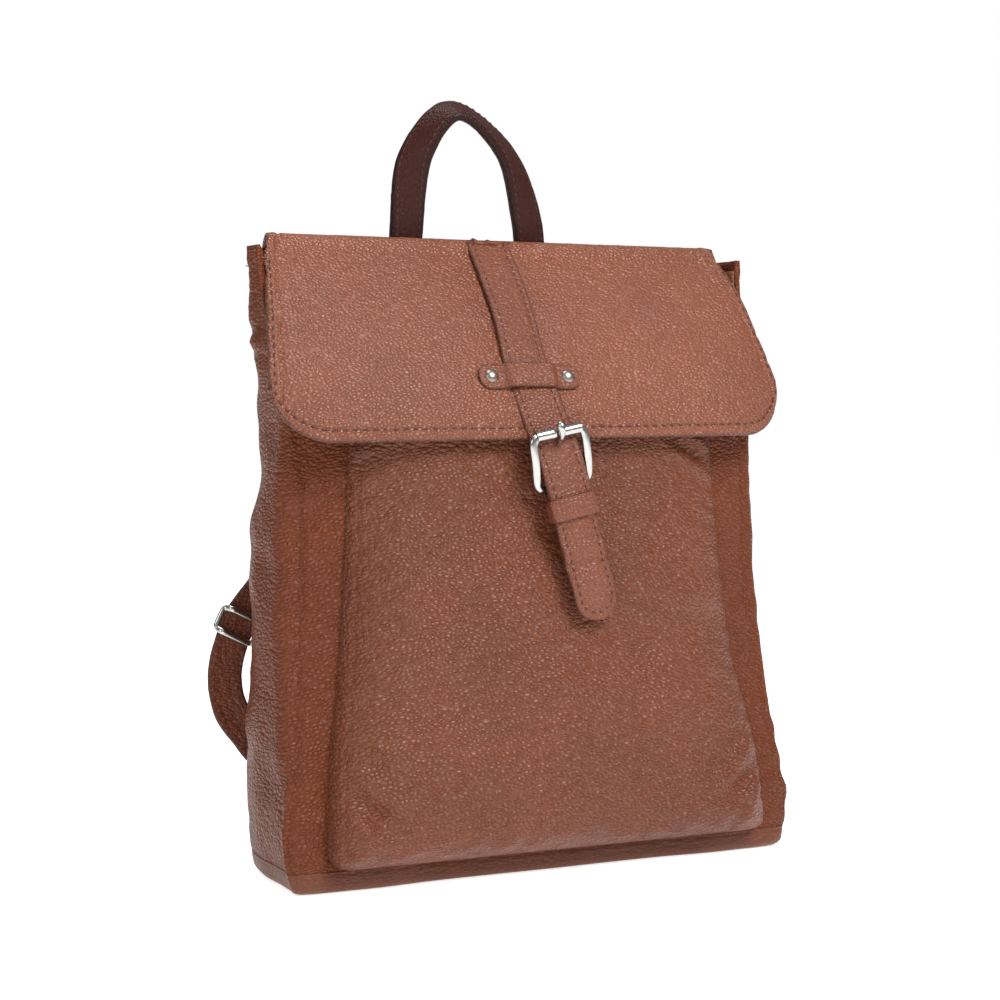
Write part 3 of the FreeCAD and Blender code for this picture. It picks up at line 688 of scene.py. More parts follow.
def settle(piece: bpy.types.Object, body: str, slot: str, *nodes: str) -> bpy.types.Object:
    """Put a finished piece on its body.

    Args:
        piece: the piece.
        body: the moving body it rides.
        slot: its material slot; not used.
        nodes: the CAD pieces that it stands for.

    Returns:
        The same piece.
    """
    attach(piece, body)
    if nodes:
        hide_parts(*nodes)
    LOG.info("%s: %d faces on %s", piece.name, len(piece.data.polygons), body)
    return piece


def rows_at(sheet: np.ndarray, place: np.ndarray) -> np.ndarray:
    """Points on a surface grid at fractional rows, each column with its own.

    Args:
        sheet: (rows, columns, 3) points.
        place: (wanted, columns) row places.

    Returns:
        (wanted, columns, 3) points, blended between the rows on either side.
    """
    i = np.clip(place.astype(int), 0, len(sheet) - 2)
    f = (place - i)[..., None]
    columns = np.arange(sheet.shape[1])[None]
    return sheet[i, columns] * (1 - f) + sheet[i + 1, columns] * f


def pick_line(grid: np.ndarray, rows: np.ndarray, columns: np.ndarray) -> np.ndarray:
    """Points on a surface grid at fractional row and column places.

    Args:
        grid: (rows, columns, 3) points.
        rows: row place of each wanted point.
        columns: column place of each wanted point.

    Returns:
        (n, 3) points, blended between the four around each place.
    """
    r = np.clip(rows, 0, grid.shape[0] - 1.001)
    c = np.clip(columns, 0, grid.shape[1] - 1.001)
    i = r.astype(int)
    j = c.astype(int)
    fr = (r - i)[:, None]
    fc = (c - j)[:, None]
    low = grid[i, j] * (1 - fc) + grid[i, j + 1] * fc
    high = grid[i + 1, j] * (1 - fc) + grid[i + 1, j + 1] * fc
    return low * (1 - fr) + high * fr


# ------------------------------------------------------------------ the bag's body

class Side(Enum):
    """Left or right, seen from the front."""

    LEFT = "left"
    RIGHT = "right"

    @property
    def sign(self) -> float:
        """Which way X goes."""
        return -1.0 if self is Side.LEFT else 1.0


@dataclass
class BagBody:
    """Walls and base: one lofted skin whose plan changes with height, slumped and gathered.

    Attributes:
        height: top of the sides.
        mouth: top of the front wall between its corner posts.
        back: Y of the back.
        seam_low: height where the walls meet the base.
        edge: radius of the rounded edge round the bottom.
        thickness: leather of the walls.
    """

    height: float = 330.0
    mouth: float = 268.0
    back: float = 35.0
    seam_low: float = 9.0
    edge: float = 4.5
    thickness: float = 2.3
    rows: int = 144
    columns: int = 320

    def front_y(self, z: np.ndarray) -> np.ndarray:
        """Middle of the leaning front wall."""
        return -12.0 - (self.height - z) / 11.0

    def plan(self, z: np.ndarray, turn: np.ndarray) -> tuple:
        """Plan outline at each height: smooth curve through the corners, seams and middle.

        Args:
            z: heights, (rows,).
            turn: place round the bag, (columns,): 0 front middle, 1 back middle, negative left.

        Returns:
            X and Y, each (rows, columns).
        """
        heights = [0.0, 20.0, 60.0, 100.0, 150.0, 225.0, 258.0, 280.0, 300.0, 330.0]
        seam_x = through(heights, [142.5, 147.0, 141.0, 136.5, 133.5, 132.0, 133.5, 138.0, 141.5,
                                   142.5], z)
        seam_y = through(heights, [-41.0, -41.0, -35.6, -26.5, -20.5, -17.8, -15.0, -8.0, 2.0, 8.0],
                         z)
        side_x = through([0, 20, 48, 90, 133, 165, 196, 228, 249, 273, 301, 330],
                         [143, 146.5, 147, 146, 144.8, 143.5, 141.5, 139.5, 141, 143, 143.7, 144.6], z)
        front = self.front_y(z)
        keys = np.array([0.0, 0.20, 0.338, CORNER_SEAM, 0.432, 0.468, 0.535, 0.568, 0.601, 0.8, 1.0])
        zero = np.zeros_like(z)
        corner = seam_x + (side_x - seam_x) * 0.78
        xs = np.stack([zero, zero + 67.0, zero + 112.0, seam_x, corner, side_x, side_x + 0.6,
                       side_x - 2.6, side_x - 13.0, zero + 66.0, zero], 1)
        drop = np.minimum(front * 0.35 + seam_y * 0.65 - 2.5, seam_y)
        rest = 28.0 - seam_y
        ys = np.stack([front, front + 0.4, drop, seam_y, seam_y + 0.10 * rest, seam_y + 0.33 * rest,
                       seam_y + 0.74 * rest, zero + 28.0, zero + self.back - 1.0, zero + self.back,
                       zero + self.back], 1)
        at = np.abs(turn)
        x = np.stack([through(keys, row, at) for row in xs])
        y = np.stack([through(keys, row, at) for row in ys])
        return x * np.where(turn < 0, -1.0, 1.0), y

    def relief(self, z: np.ndarray, turn: np.ndarray) -> np.ndarray:
        """How far the skin stands out: slump, waist creases, gathers and the sewn seams.

        Folds are sines, or smooth random heights, inside bell curves of the height and of the place
        round the bag, and each seam is a narrow bell pressed in beside a low ridge.

        Args:
            z: heights, (rows,).
            turn: place round the bag, (columns,), as for the plan.

        Returns:
            Stand-out in millimetres, (rows, columns).
        """
        z = z[:, None]
        t = turn[None, :]
        at = np.abs(t)
        side = smooth_step(0.40, 0.45, at) * (1 - smooth_step(0.585, 0.63, at))
        left = np.where(t < 0, 1.0, 0.6)
        sway = 2.2 * ripple(t * 9.0 + 3.0, z / 26.0, 11) * np.exp(-((z - 170.0) / 150.0) ** 2)
        waist = (-2.2 * np.exp(-((z - 286.0 + 30.0 * (at - 0.5)) / 3.6) ** 2)
                 - 1.5 * np.exp(-((z - 272.5 - 44.0 * (at - 0.5)) / 2.6) ** 2)
                 + 1.0 * np.exp(-((z - 279.0) / 4.2) ** 2))
        top = smooth_step(283.0, 296.0, z) * (1 - smooth_step(318.0, 327.0, z))
        gather = 0.35 * top * np.sin(z * 1.12 + 3.2 * ripple(t * 14.0, z / 30.0, 5))
        lower = 0.8 * ripple(t * 14.0, z / 13.0, 21) * smooth_step(15.0, 60.0, z)
        near_seam = np.exp(-((at - CORNER_SEAM) / 0.045) ** 2)
        pull = 0.6 * near_seam * ripple(z / 9.0 + 40.0 * at, t * 22.0, 8)
        low_folds = 0.8 * near_seam * np.exp(-((z - 42.0) / 26.0) ** 2) * np.sin(z * 0.33 + 55.0 * at)
        groove = (-1.7 * np.exp(-((at - CORNER_SEAM) / 0.0042) ** 2)
                  + 0.9 * np.exp(-((at - 0.417) / 0.007) ** 2))
        hem = 0.8 * smooth_step(self.height - 11.0, self.height - 8.5, z)
        fine = 0.10 * ripple(t * 130.0, z / 2.6, 31) + 0.22 * ripple(t * 48.0, z / 7.0, 37)
        back = smooth_step(0.60, 0.66, at)
        calm = 1.0 - 0.7 * back
        corner = np.exp(-((at - 0.415) / 0.028) ** 2) * smooth_step(262.0, 282.0, z)
        calm = calm * (1 - 0.9 * corner)
        skirt = -0.9 * np.exp(-((z - self.seam_low - 1.0) / 1.6) ** 2)
        slump = side * left * (sway + waist + gather + lower) * (1 - 0.8 * corner)
        return (slump + pull * calm + low_folds + groove + hem + fine * calm + skirt
                + 0.8 * back * ripple(t * 10.0, z / 50.0, 44))

    def surface(self, z: np.ndarray, turn: np.ndarray, stand: float = 0.0) -> np.ndarray:
        """Outer skin: the plan drawn in along a quarter circle at the bottom, plus the relief.

        Args:
            z: heights, (rows,).
            turn: place round the bag, (columns,), as for the plan.
            stand: distance off the skin, outward.

        Returns:
            (rows, columns, 3) points.
        """
        x, y = self.plan(z, turn)
        under = np.maximum(self.edge - z, 0.0)
        tuck = self.edge - np.sqrt(np.maximum(self.edge**2 - under**2, 0.0))
        x = x * (1 - tuck / 145.0)[:, None]
        y = -2.0 + (y + 2.0) * (1 - tuck / 38.0)[:, None]
        base = np.stack([x, y, np.broadcast_to(z[:, None], x.shape)], -1)
        normal = unit(np.cross(np.gradient(base, axis=1), np.gradient(base, axis=0)))
        flat = unit(normal * np.array([1.0, 1.0, 0.0]))
        lift = self.relief(z, turn) * smooth_step(4.0, 16.0, z)[:, None] + stand
        return base + flat * lift[..., None]

    def build(self) -> list:
        """Walls with their top hem, and the base tray under them.

        Rows are spread evenly in every column from the base seam to the top, which dips from the
        corner posts to the front's mouth.

        Returns:
            The walls, the base tray and the hem's stitches.
        """
        turn = np.linspace(-1.0, 1.0, self.columns + 1)[:-1]
        at = np.abs(turn)
        dip = 1 - smooth_step(0.385, CORNER_SEAM, at)
        top = self.height - 1.0 - (self.height - self.mouth) * dip
        share = np.linspace(0.0, 1.0, self.rows)
        full = np.linspace(self.seam_low - 3.0, self.height, self.rows)
        sheet = self.surface(full, turn)
        want = full[0] + share[:, None] * (top[None] - full[0])
        walls = rows_at(sheet, (want - full[0]) / (full[-1] - full[0]) * (self.rows - 1))
        body = new_piece("Bag_walls", walls[::-1].reshape(-1, 3),
                         grid_faces(self.rows, self.columns, wrap=True), Finish.SIDE)
        thicken(body, self.thickness)
        settle(body, "bag", "shell_leather", "front_panel", "side_panel_left", "side_panel_right",
               "back_panel")
        return [body, self.base(turn), *self.sewing()]

    def base(self, turn: np.ndarray) -> bpy.types.Object:
        """Base tray: the skin's lowest part turned in under a rounded edge to a flat bottom.

        Args:
            turn: place round the bag, (columns,), as for the plan.

        Returns:
            The tray.
        """
        z = np.concatenate([np.linspace(self.seam_low + 2.0, 5.5, 14), np.linspace(5.0, 0.0, 16)])
        wall = self.surface(z[::-1], turn, 0.5)[::-1]
        rim = wall[-1]
        centre = np.array([0.0, -2.0, 0.0])
        rings = [wall]
        for share in (0.97, 0.9, 0.75, 0.5, 0.25, 0.08):
            ring = centre + (rim - centre) * share
            ring[:, 2] = 0.0
            rings.append(ring[None])
        piece = cup("Base_tray", np.concatenate(rings), Finish.BASE)
        thicken(piece, 2.0)
        return settle(piece, "bag", "shell_leather", "bottom_panel")

    def sewing(self) -> list:
        """Stitch rows under the hem of the sides."""
        pieces = []
        for side in Side:
            place = np.linspace(0.425, 0.60, 80) * side.sign
            hem = self.surface(np.array([self.height - 11.0, self.height - 10.0]), place)[0]
            out = unit(hem * np.array([1.0, 0.2, 0.0]))
            pieces.append(stitches(f"Hem_stitches_{side.value}", hem, out, 4.6, Finish.THREAD))
        return [settle(piece, "bag", "shell_leather") for piece in pieces]


@dataclass
class FrontPocket:
    """Patch pocket: a puffed height field over the front wall, pleated at its lower corners.

    Attributes:
        low: bottom seam.
        high: mouth.
        top_half: half width at the mouth.
        low_half: half width at the bottom.
        corner: corner radius.
    """

    low: float = 11.0
    high: float = 250.0
    top_half: float = 107.5
    low_half: float = 128.5
    corner: float = 13.0
    rows: int = 190
    columns: int = 230

    def half(self, z: np.ndarray) -> np.ndarray:
        """Half width at a height."""
        return through([self.low, 60.0, 110.0, 150.0, 215.0, self.high],
                       [self.low_half, 124.8, 116.5, 112.7, 108.5, self.top_half], z)

    def face(self, x: np.ndarray, z: np.ndarray) -> np.ndarray:
        """Y of the pocket's face before its edges: straight flare with a slumped belly."""
        flare = -35.0 - 0.1382 * (self.high - z)
        belly = -2.0 * np.exp(-((z - 78.0) / 40.0) ** 2) * (1 - (x / 125.0) ** 2)
        hollow = 3.0 * np.exp(-((z - 205.0) / 35.0) ** 2) * np.exp(-((x - 10.0) / 60.0) ** 2)
        return flare + belly + hollow

    def build(self, body: BagBody) -> list:
        """Pocket leather and the stitch rows down its sides.

        The face stands off the wall behind it by a share that rises with the gap to the nearest
        edge: a steep exponential close to the seam and a slower one over the belly.

        Args:
            body: the walls that it is sewn to.

        Returns:
            The pocket and its two rows of stitches.
        """
        v = np.linspace(0.0, 1.0, self.rows) ** 1.12
        bunch = math.pi / 2 * 0.86
        u = np.sin(np.linspace(-1.0, 1.0, self.columns) * bunch) / math.sin(bunch)
        z_line = self.high - v * (self.high - self.low)
        half = self.half(z_line)[:, None]
        x = u[None] * half
        over = np.maximum(np.abs(x) - (self.low_half - self.corner), 0.0) / self.corner
        floor = self.low + self.corner * (1 - np.sqrt(np.maximum(1 - over**2, 0.0)))
        z = self.high - v[:, None] * (self.high - floor)
        x = u[None] * self.half(z)
        side_gap = self.half(z) - np.abs(x)
        floor_gap = z - floor
        gap = 1.0 / (1.0 / np.maximum(side_gap, 0.02) ** 2
                     + 1.0 / np.maximum(floor_gap, 0.02) ** 2) ** 0.5
        low_share = 1 - smooth_step(35.0, 130.0, z)
        rise = ((0.24 + 0.12 * low_share) * (1 - np.exp(-gap / 1.6))
                + (0.76 - 0.12 * low_share) * (1 - np.exp(-gap / (19.0 - 10.0 * low_share))))
        wall = self.wall(body, x, z)
        face = self.face(x, z)
        y = wall + (face - wall) * rise
        y = y - self.folds(x, z, gap)
        grid = np.stack([x, y, z], -1)
        piece = slab("Front_pocket", grid, 1.8, Finish.FRONT, 3)
        settle(piece, "bag", "shell_leather", "front_pocket")
        normal = surface_normals(grid)
        rows = np.linspace(0, self.rows - 3, 260)
        pieces = [piece]
        for side in Side:
            inward = self.side_run(grid, side)
            column = np.interp(5.5, inward, np.arange(len(inward)))
            place = column if side is Side.LEFT else self.columns - 1 - column
            line = pick_line(grid, rows, np.full_like(rows, place))
            out = pick_line(normal, rows, np.full_like(rows, place))
            row = stitches(f"Pocket_stitches_{side.value}", line, out, 5.2, Finish.THREAD)
            pieces.append(settle(row, "bag", "shell_leather"))
        return pieces

    def side_run(self, grid: np.ndarray, side: Side) -> np.ndarray:
        """Distance in from one edge along a row halfway up."""
        row = grid[self.rows // 2]
        row = row if side is Side.LEFT else row[::-1]
        return length_along(row[:60])

    def wall(self, body: BagBody, x: np.ndarray, z: np.ndarray) -> np.ndarray:
        """Y of the front wall behind the pocket: middle line, easing back to the seams."""
        heights = [0.0, 20.0, 60.0, 100.0, 150.0, 225.0, 330.0]
        seam_y = np.interp(z, heights, [-40.5, -39.6, -35.0, -26.5, -20.5, -17.8, -9.8])
        share = smooth_step(60.0, 128.0, np.abs(x))
        return body.front_y(z) * (1 - share) + (seam_y - 2.0) * share + 0.8

    def folds(self, x: np.ndarray, z: np.ndarray, gap: np.ndarray) -> np.ndarray:
        """Forward relief: slack folds, corner pleats, and gathers along the edges.

        Folds are sines of a slanting distance, or smooth random heights, inside bell curves.

        Args:
            x: places across.
            z: heights.
            gap: distance to the nearest sewn edge.

        Returns:
            Millimetres forward at each place.
        """
        inside = smooth_step(2.0, 14.0, gap)
        slack = 1.5 * ripple(x / 46.0 + 7.0, z / 30.0, 51) + 0.7 * ripple(x / 17.0, z / 13.0, 53)
        corner = np.exp(-((np.abs(x) - 112.0) / 20.0) ** 2 - ((z - 44.0) / 20.0) ** 2)
        pleat = 3.2 * corner * np.sin((np.abs(x) * 0.62 - z * 0.78) * 0.30 + 0.8)
        lobe = 3.4 * np.exp(-((np.abs(x) - 116.0) / 9.0) ** 2 - ((z - 23.0) / 8.0) ** 2)
        tuck = -2.2 * np.exp(-((np.abs(x) - 103.0 - 0.35 * (z - 20.0)) / 4.5) ** 2
                             - ((z - 22.0) / 12.0) ** 2)
        edge = np.exp(-gap / 13.0) * smooth_step(1.5, 5.0, gap)
        gather = 0.9 * edge * np.sin(z * 0.55 + np.abs(x) * 0.25 + 3.0 * ripple(x / 60.0, z / 25.0, 57))
        sway = 3.5 * ripple(x / 30.0, z / 40.0, 59)
        floor = np.exp(-(z - self.low) / 15.0) * np.sin(x * 0.31 + sway)
        mouth = np.exp(-((z - 226.0) / 22.0) ** 2) * np.exp(-((x - 96.0) / 20.0) ** 2)
        drag = 2.0 * mouth * np.sin((x * 0.5 + z * 0.86) * 0.42)
        fine = 0.16 * ripple(x / 5.5, z / 3.4, 61)
        groove = -0.5 * np.exp(-((gap - 5.5) / 1.0) ** 2)
        return (inside * (slack + pleat + lobe + tuck + drag + fine) + gather
                + floor * smooth_step(1.0, 5.0, gap) + groove)


# ------------------------------------------------------------------ flap and closure

@dataclass
class Closure:
    """Line of the closure: the flap's outer face, then the strap's inner face below it.

    Attributes:
        route: (Y, Z) points of the line seen from the side.
        centre: (X, Z) points of the strap's middle seen from the front.
    """

    route: tuple = ((24.0, 334.0), (8.0, 317.0), (-12.0, 294.0), (-28.0, 272.0), (-39.5, 250.0),
                    (-46.5, 228.0), (-51.5, 200.0), (-55.0, 170.0), (-58.0, 130.0))
    centre: tuple = ((-8.0, 336.0), (-8.6, 300.0), (-10.2, 262.0), (-5.5, 240.0), (1.0, 219.0),
                     (10.8, 176.0), (21.5, 133.0))

    def depth(self, z: np.ndarray) -> np.ndarray:
        """Y of the line at a height."""
        points = np.array(self.route)[::-1]
        return through(points[:, 1], points[:, 0], z)

    def middle(self, z: np.ndarray) -> np.ndarray:
        """X of the strap's middle at a height."""
        points = np.array(self.centre)[::-1]
        return through(points[:, 1], points[:, 0], z)


@dataclass
class Flap:
    """Flap: one sheet sewn at the back, folded over the top and hanging over the front.

    Attributes:
        hem: height of the bottom edge at the middle.
        wide: half width at the bottom edge.
        narrow: half width over the fold.
        corner: radius of the bottom corners.
        thickness: leather and lining together.
    """

    hem: float = 230.0
    wide: float = 149.6
    narrow: float = 136.0
    corner: float = 29.0
    thickness: float = 3.0
    rows: int = 206
    columns: int = 220

    def half(self, z: np.ndarray) -> np.ndarray:
        """Half width at a height down the front."""
        return through([225.0, 245.0, 255.0, 270.0, 285.0, 300.0, 315.0, 335.0],
                       [self.wide, self.wide, 149.0, 147.1, 144.8, 142.4, 139.9, self.narrow], z)

    def build(self, closure: Closure) -> list:
        """Flap leather with its stitching, bent over the hinge.

        Rows follow the side view by distance, from the sewn strip at the back to a bottom edge
        whose corners are quarter circles; the edges bend back by the fifth power of the place
        across.

        Args:
            closure: the line that the front of the flap follows.

        Returns:
            The flap and its stitches.
        """
        run = self.spine(closure)
        u = np.sin(np.linspace(-1.0, 1.0, self.columns) * math.pi / 2 * 0.90)
        u = u / u[-1]
        length = length_along(run)
        x_hem = u * self.wide
        over = np.maximum(np.abs(x_hem) - (self.wide - self.corner), 0.0) / self.corner
        lift = self.corner * (1 - np.sqrt(np.maximum(1 - over**2, 0.0))) + 3.0 * (u + 1) / 2 - 1.5
        low = self.hem + lift
        ends = np.interp(-low, -run[:, 2], length)
        v = np.linspace(0.0, 1.0, self.rows)
        place = v[:, None] * ends[None]
        y = np.interp(place, length, run[:, 1])
        z = np.interp(place, length, run[:, 2])
        down = 1 - smooth_step(322.0, 336.0, z)
        front = (y < 22.0) * 1.0
        half = np.where(y > 22.0, self.narrow, self.half(z)) - 5.0 * smooth_step(8.0, 36.0, y)
        x = u[None] * half
        hard = np.interp(z, [228.0, 245.0, 255.0, 270.0, 285.0, 300.0, 315.0, 336.0],
                         [13.0, 13.2, 10.5, 9.5, 7.5, 3.5, 0.0, 0.0])
        wrap = hard * np.abs(u[None]) ** 5 * front * down
        grid = np.stack([x, y + wrap, z], -1)
        normal = surface_normals(grid)
        gap = np.minimum((1 - np.abs(u[None])) * half, (ends[None] - place))
        grid = grid + normal * self.relief(x, z, gap, place, front)[..., None]
        piece = slab("Flap", grid, self.thickness, Finish.FLAP, 6)
        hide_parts("flap", "flap_lining")
        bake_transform(piece)
        LOG.info("Flap: %d faces over the hinge", len(piece.data.polygons))
        return [piece, *self.sewing(grid)]

    def spine(self, closure: Closure) -> np.ndarray:
        """Side view of the sheet: up the back, over the fold, then down the front."""
        z = np.linspace(328.0, 226.0, 120)
        front = np.stack([0 * z, closure.depth(z), z], -1)
        bend = path_through([(0, 39.6, 312), (0, 39.4, 326), (0, 35.4, 334.2), (0, 28.5, 336.9),
                             (0, 22.5, 335.6), (0, closure.depth(np.array(328.0)), 328)], 60)
        return np.concatenate([bend[:-1], front])

    def relief(self, x: np.ndarray, z: np.ndarray, gap: np.ndarray, run: np.ndarray,
               front: np.ndarray) -> np.ndarray:
        """Stand-out of the flap: soft swell, drag lines by the edges, stitch trench, fine grain.

        Args:
            x: places across.
            z: heights.
            gap: distance to the nearest edge.
            run: distance along the sheet from the sewn strip.
            front: one on the front of the bag, zero on the fold and the back.

        Returns:
            Millimetres outward at each place.
        """
        swell = 1.2 * ripple(x / 62.0 + 5.0, run / 48.0, 71) + 0.4 * ripple(x / 22.0, run / 19.0, 73)
        sway = 3.0 * ripple(x / 90.0, z / 30.0, 75)
        drag = 0.7 * np.exp(-gap / 14.0) * np.sin(z * 0.30 + sway)
        trench = -0.55 * np.exp(-((gap - 5.0) / 0.9) ** 2)
        roll = 0.35 * np.exp(-((gap - 2.4) / 1.6) ** 2)
        press = -1.0 * np.exp(-((x + 9.0) / 24.0) ** 2) * front
        fine = 0.10 * ripple(x / 5.0, run / 3.4, 77)
        inside = smooth_step(1.0, 12.0, gap)
        return (inside * (swell * front + fine) + front * smooth_step(1.0, 5.0, gap) * drag
                + trench + roll + press * 0.4)

    def sewing(self, grid: np.ndarray) -> list:
        """Stitches that run down both edges and along the hem, and one row across the back.

        Args:
            grid: the flap's outer face.

        Returns:
            The front row and the back row.
        """
        normal = surface_normals(grid)
        start = int(np.argmax(grid[:, 0, 1] < 16.0))
        across = np.concatenate([[0.0], np.cumsum(np.linalg.norm(
            np.diff(grid[:, :60], axis=1).mean(0), axis=1))])
        inset = float(np.interp(5.0, across, np.arange(len(across))))
        step = np.linalg.norm(grid[-1, self.columns // 2] - grid[-2, self.columns // 2])
        rise = 5.0 / step
        rows = np.linspace(start, self.rows - 1 - rise, 300)
        columns = np.linspace(inset, self.columns - 1 - inset, 500)
        row = np.concatenate([rows, np.full(500, self.rows - 1 - rise), rows[::-1]])
        column = np.concatenate([np.full(300, inset), columns,
                                 np.full(300, self.columns - 1 - inset)])
        line = pick_line(grid, row, column)
        out = pick_line(normal, row, column)
        front = stitches("Flap_stitches", line, out, 5.3, Finish.THREAD, 0.45)
        settle(front, "flap", "flap_leather")
        column = np.linspace(3, self.columns - 4, 400)
        back_line = pick_line(grid, np.full(400, 7.0), column)
        back_out = pick_line(normal, np.full(400, 7.0), column)
        back = stitches("Flap_back_stitches", back_line, back_out, 5.3, Finish.THREAD, 0.45)
        settle(back, "bag", "flap_leather")
        return [front, back]


@dataclass
class ClosingStrap:
    """Closing strap over the flap, through bridge, buckle and keeper, with its hanging tail.

    Attributes:
        width: strap width.
        thickness: strap thickness.
        tip: height of its end.
        closure: the line that it follows.
    """

    width: float = 23.0
    thickness: float = 2.5
    tip: float = 134.0
    closure: Closure = field(default_factory=Closure)

    def frame(self, z: np.ndarray, lift: float) -> tuple:
        """Line of the strap and its directions.

        Args:
            z: heights, from the top down.
            lift: distance off the closure line, outward.

        Returns:
            Middle of the strap, then its downward, sideways and outward directions, each (n, 3).
        """
        line = np.stack([self.closure.middle(z), self.closure.depth(z), z], -1)
        along = unit(np.gradient(line, axis=0))
        side = unit(np.stack([-along[:, 2], 0 * z, along[:, 0]], -1))
        out = unit(np.cross(along, side))
        return line + out * lift, along, side, out

    def ribbon(self, z: np.ndarray, half: np.ndarray, lift: float, count: int = 15) -> np.ndarray:
        """Flat strip across the line.

        Args:
            z: heights, from the top down.
            half: half width at each height.
            lift: distance off the closure line, outward.
            count: points across.

        Returns:
            (heights, count, 3) points.
        """
        line, _, side, _ = self.frame(z, lift)
        across = np.linspace(-1.0, 1.0, count)
        return line[:, None] + side[:, None] * (across[None] * half[:, None])[..., None]

    def build(self) -> list:
        """Strap with a round tip, its face crowned across and waved along the tail.

        Returns:
            The strap, its stitches, the tongue, the keeper, and the bridge with its rivets.
        """
        turn = np.linspace(0.0, math.radians(82.0), 26)[1:]
        bend = self.width / 2
        z = np.concatenate([np.linspace(335.0, self.tip + bend, 300),
                            self.tip + bend * (1 - np.sin(turn))])
        half = bend * np.concatenate([np.ones(300), np.cos(turn)])
        grid = self.ribbon(z, half, self.thickness, 25)
        across = np.linspace(-1.0, 1.0, 25)[None]
        _, _, _, out = self.frame(z, 0.0)
        tail = 1 - smooth_step(182.0, 192.0, z)[:, None]
        wave = tail * (0.8 * np.exp(-((z[:, None] - 172.0) / 3.0) ** 2)
                       - 0.9 * np.exp(-((z[:, None] - 164.0) / 2.4) ** 2)
                       + 0.7 * np.exp(-((z[:, None] - 153.0) / 4.0) ** 2))
        curl = -1.3 * tail * across**2 + 0.25 * ripple(across * 4.0, z[:, None] / 4.0, 83)
        trench = -0.25 * np.exp(-((np.abs(across) * bend - 9.0) / 0.7) ** 2)
        crown = 0.35 * (1 - across**2)
        grid = grid + out[:, None] * (wave + curl + trench + crown)[..., None]
        top = slab("Closing_strap", grid, self.thickness, Finish.STRAP, 6)
        settle(top, "flap", "strap_leather", "flap_strap")
        return [top, *self.border(grid), self.tongue(), self.loop(), *self.bridge()]

    def border(self, grid: np.ndarray) -> list:
        """Stitches along both sides of the strap and round its tip.

        Args:
            grid: the strap's outer face.

        Returns:
            The row of stitches.
        """
        normal = surface_normals(grid)
        rows = np.linspace(1, 300, 300)
        bend = np.linspace(-1.0, 1.0, 40)
        row = np.concatenate([rows, 299 + 12.5 * np.sqrt(1 - 0.98 * bend**2), rows[::-1]])
        column = np.concatenate([np.full(300, 2.6), 12 + 9.4 * bend, np.full(300, 21.4)])
        line = pick_line(grid, row, column)
        piece = stitches("Strap_stitches", line, pick_line(normal, row, column), 4.4, Finish.THREAD,
                         0.36)
        return [settle(piece, "flap", "strap_leather")]

    def tongue(self) -> bpy.types.Object:
        """Tab behind the strap, running down from the buckle's lower bar."""
        z = np.linspace(203.0, 149.0, 70)
        half = 10.5 * (1 - np.maximum(1 - (z - 149.0) / 7.0, 0.0) ** 2.5 * 0.9) ** 0.8
        grid = self.ribbon(z, half, -0.1, 9)
        piece = slab("Buckle_chape", grid, 2.9, Finish.STRAP, 5)
        return settle(piece, "flap", "strap_leather", "buckle_chape")

    def loop(self) -> bpy.types.Object:
        """Keeper: leather ring round strap and tongue, its plan a superellipse of power five.

        Returns:
            The keeper.
        """
        z0 = 193.0
        line, along, side, out = (a[1] for a in self.frame(np.array([194.0, z0, 192.0]), 0.0))
        angle = np.linspace(0.0, 2 * math.pi, 73)[:-1]
        squareness = (np.abs(np.cos(angle)) ** 5 + np.abs(np.sin(angle)) ** 5) ** (-1 / 5.0)
        a = np.cos(angle) * squareness * 13.6
        b = np.sin(angle) * squareness * 4.9 - 0.2
        rows = np.array([-1.0, -0.97, -0.88, -0.6, 0.0, 0.6, 0.88, 0.97, 1.0])
        bulge = np.array([-0.75, -0.3, 0.0, 0.2, 0.35, 0.2, 0.0, -0.3, -0.75])
        height = 5.9
        grow = 1 + bulge[:, None] / 13.0
        shape = (line + along * (rows * height)[:, None, None]
                 + side * (a[None] * grow)[..., None]
                 + out * (b[None] + np.sign(b)[None] * bulge[:, None])[..., None])
        piece = new_piece("Keeper_loop", shape.reshape(-1, 3), grid_faces(9, 72, wrap=True),
                          Finish.STRAP)
        turn_outward(piece)
        thicken(piece, 1.5)
        return settle(piece, "flap", "strap_leather", "keeper_loop")

    def bridge(self) -> list:
        """Cross strap humped over the closing strap, with a domed rivet at each end.

        Returns:
            The cross strap and the two rivets.
        """
        z0 = 260.5
        x0 = float(self.closure.middle(np.array(z0)))
        out = self.frame(np.array([z0 + 1, z0, z0 - 1]), 0.0)[3][1]
        side = np.array([1.0, 0.0, 0.0])
        out = unit(out * np.array([0.0, 1.0, 1.0]))
        down = np.cross(out, side)
        down = down * (-1.0 if down[2] > 0 else 1.0)
        s = np.sin(np.linspace(-1.0, 1.0, 110) * math.pi / 2 * 0.92)
        s = s / s[-1] * 29.0
        over = np.maximum(np.abs(s) - 22.6, 0.0) / 6.5
        tall = 6.4 * np.sqrt(np.maximum(1 - over**2, 0.02))
        across = np.linspace(-1.0, 1.0, 11)
        hump = 2.2 + 2.9 * (1 - smooth_step(11.6, 16.5, np.abs(s)))
        centre = np.array([x0, float(self.closure.depth(np.array(z0))), z0])
        grid = (centre + down * (across[:, None] * tall[None])[..., None]
                + side * s[None, :, None]
                + out * (hump[None] + 0.35 * (1 - across[:, None] ** 2))[..., None])
        piece = slab("Bridge_loop", grid, 2.1, Finish.STRAP, 5)
        settle(piece, "flap", "strap_leather", "keeper_bridge")
        pieces = [piece]
        profile = np.array([(0.0, 1.9), (1.2, 1.8), (2.4, 1.45), (3.3, 0.85), (3.75, 0.25),
                            (3.8, -0.4)])
        turn = np.linspace(0, 2 * math.pi, 25)[:-1]
        for end in Side:
            seat = centre + side * end.sign * 22.2 + out * 2.3
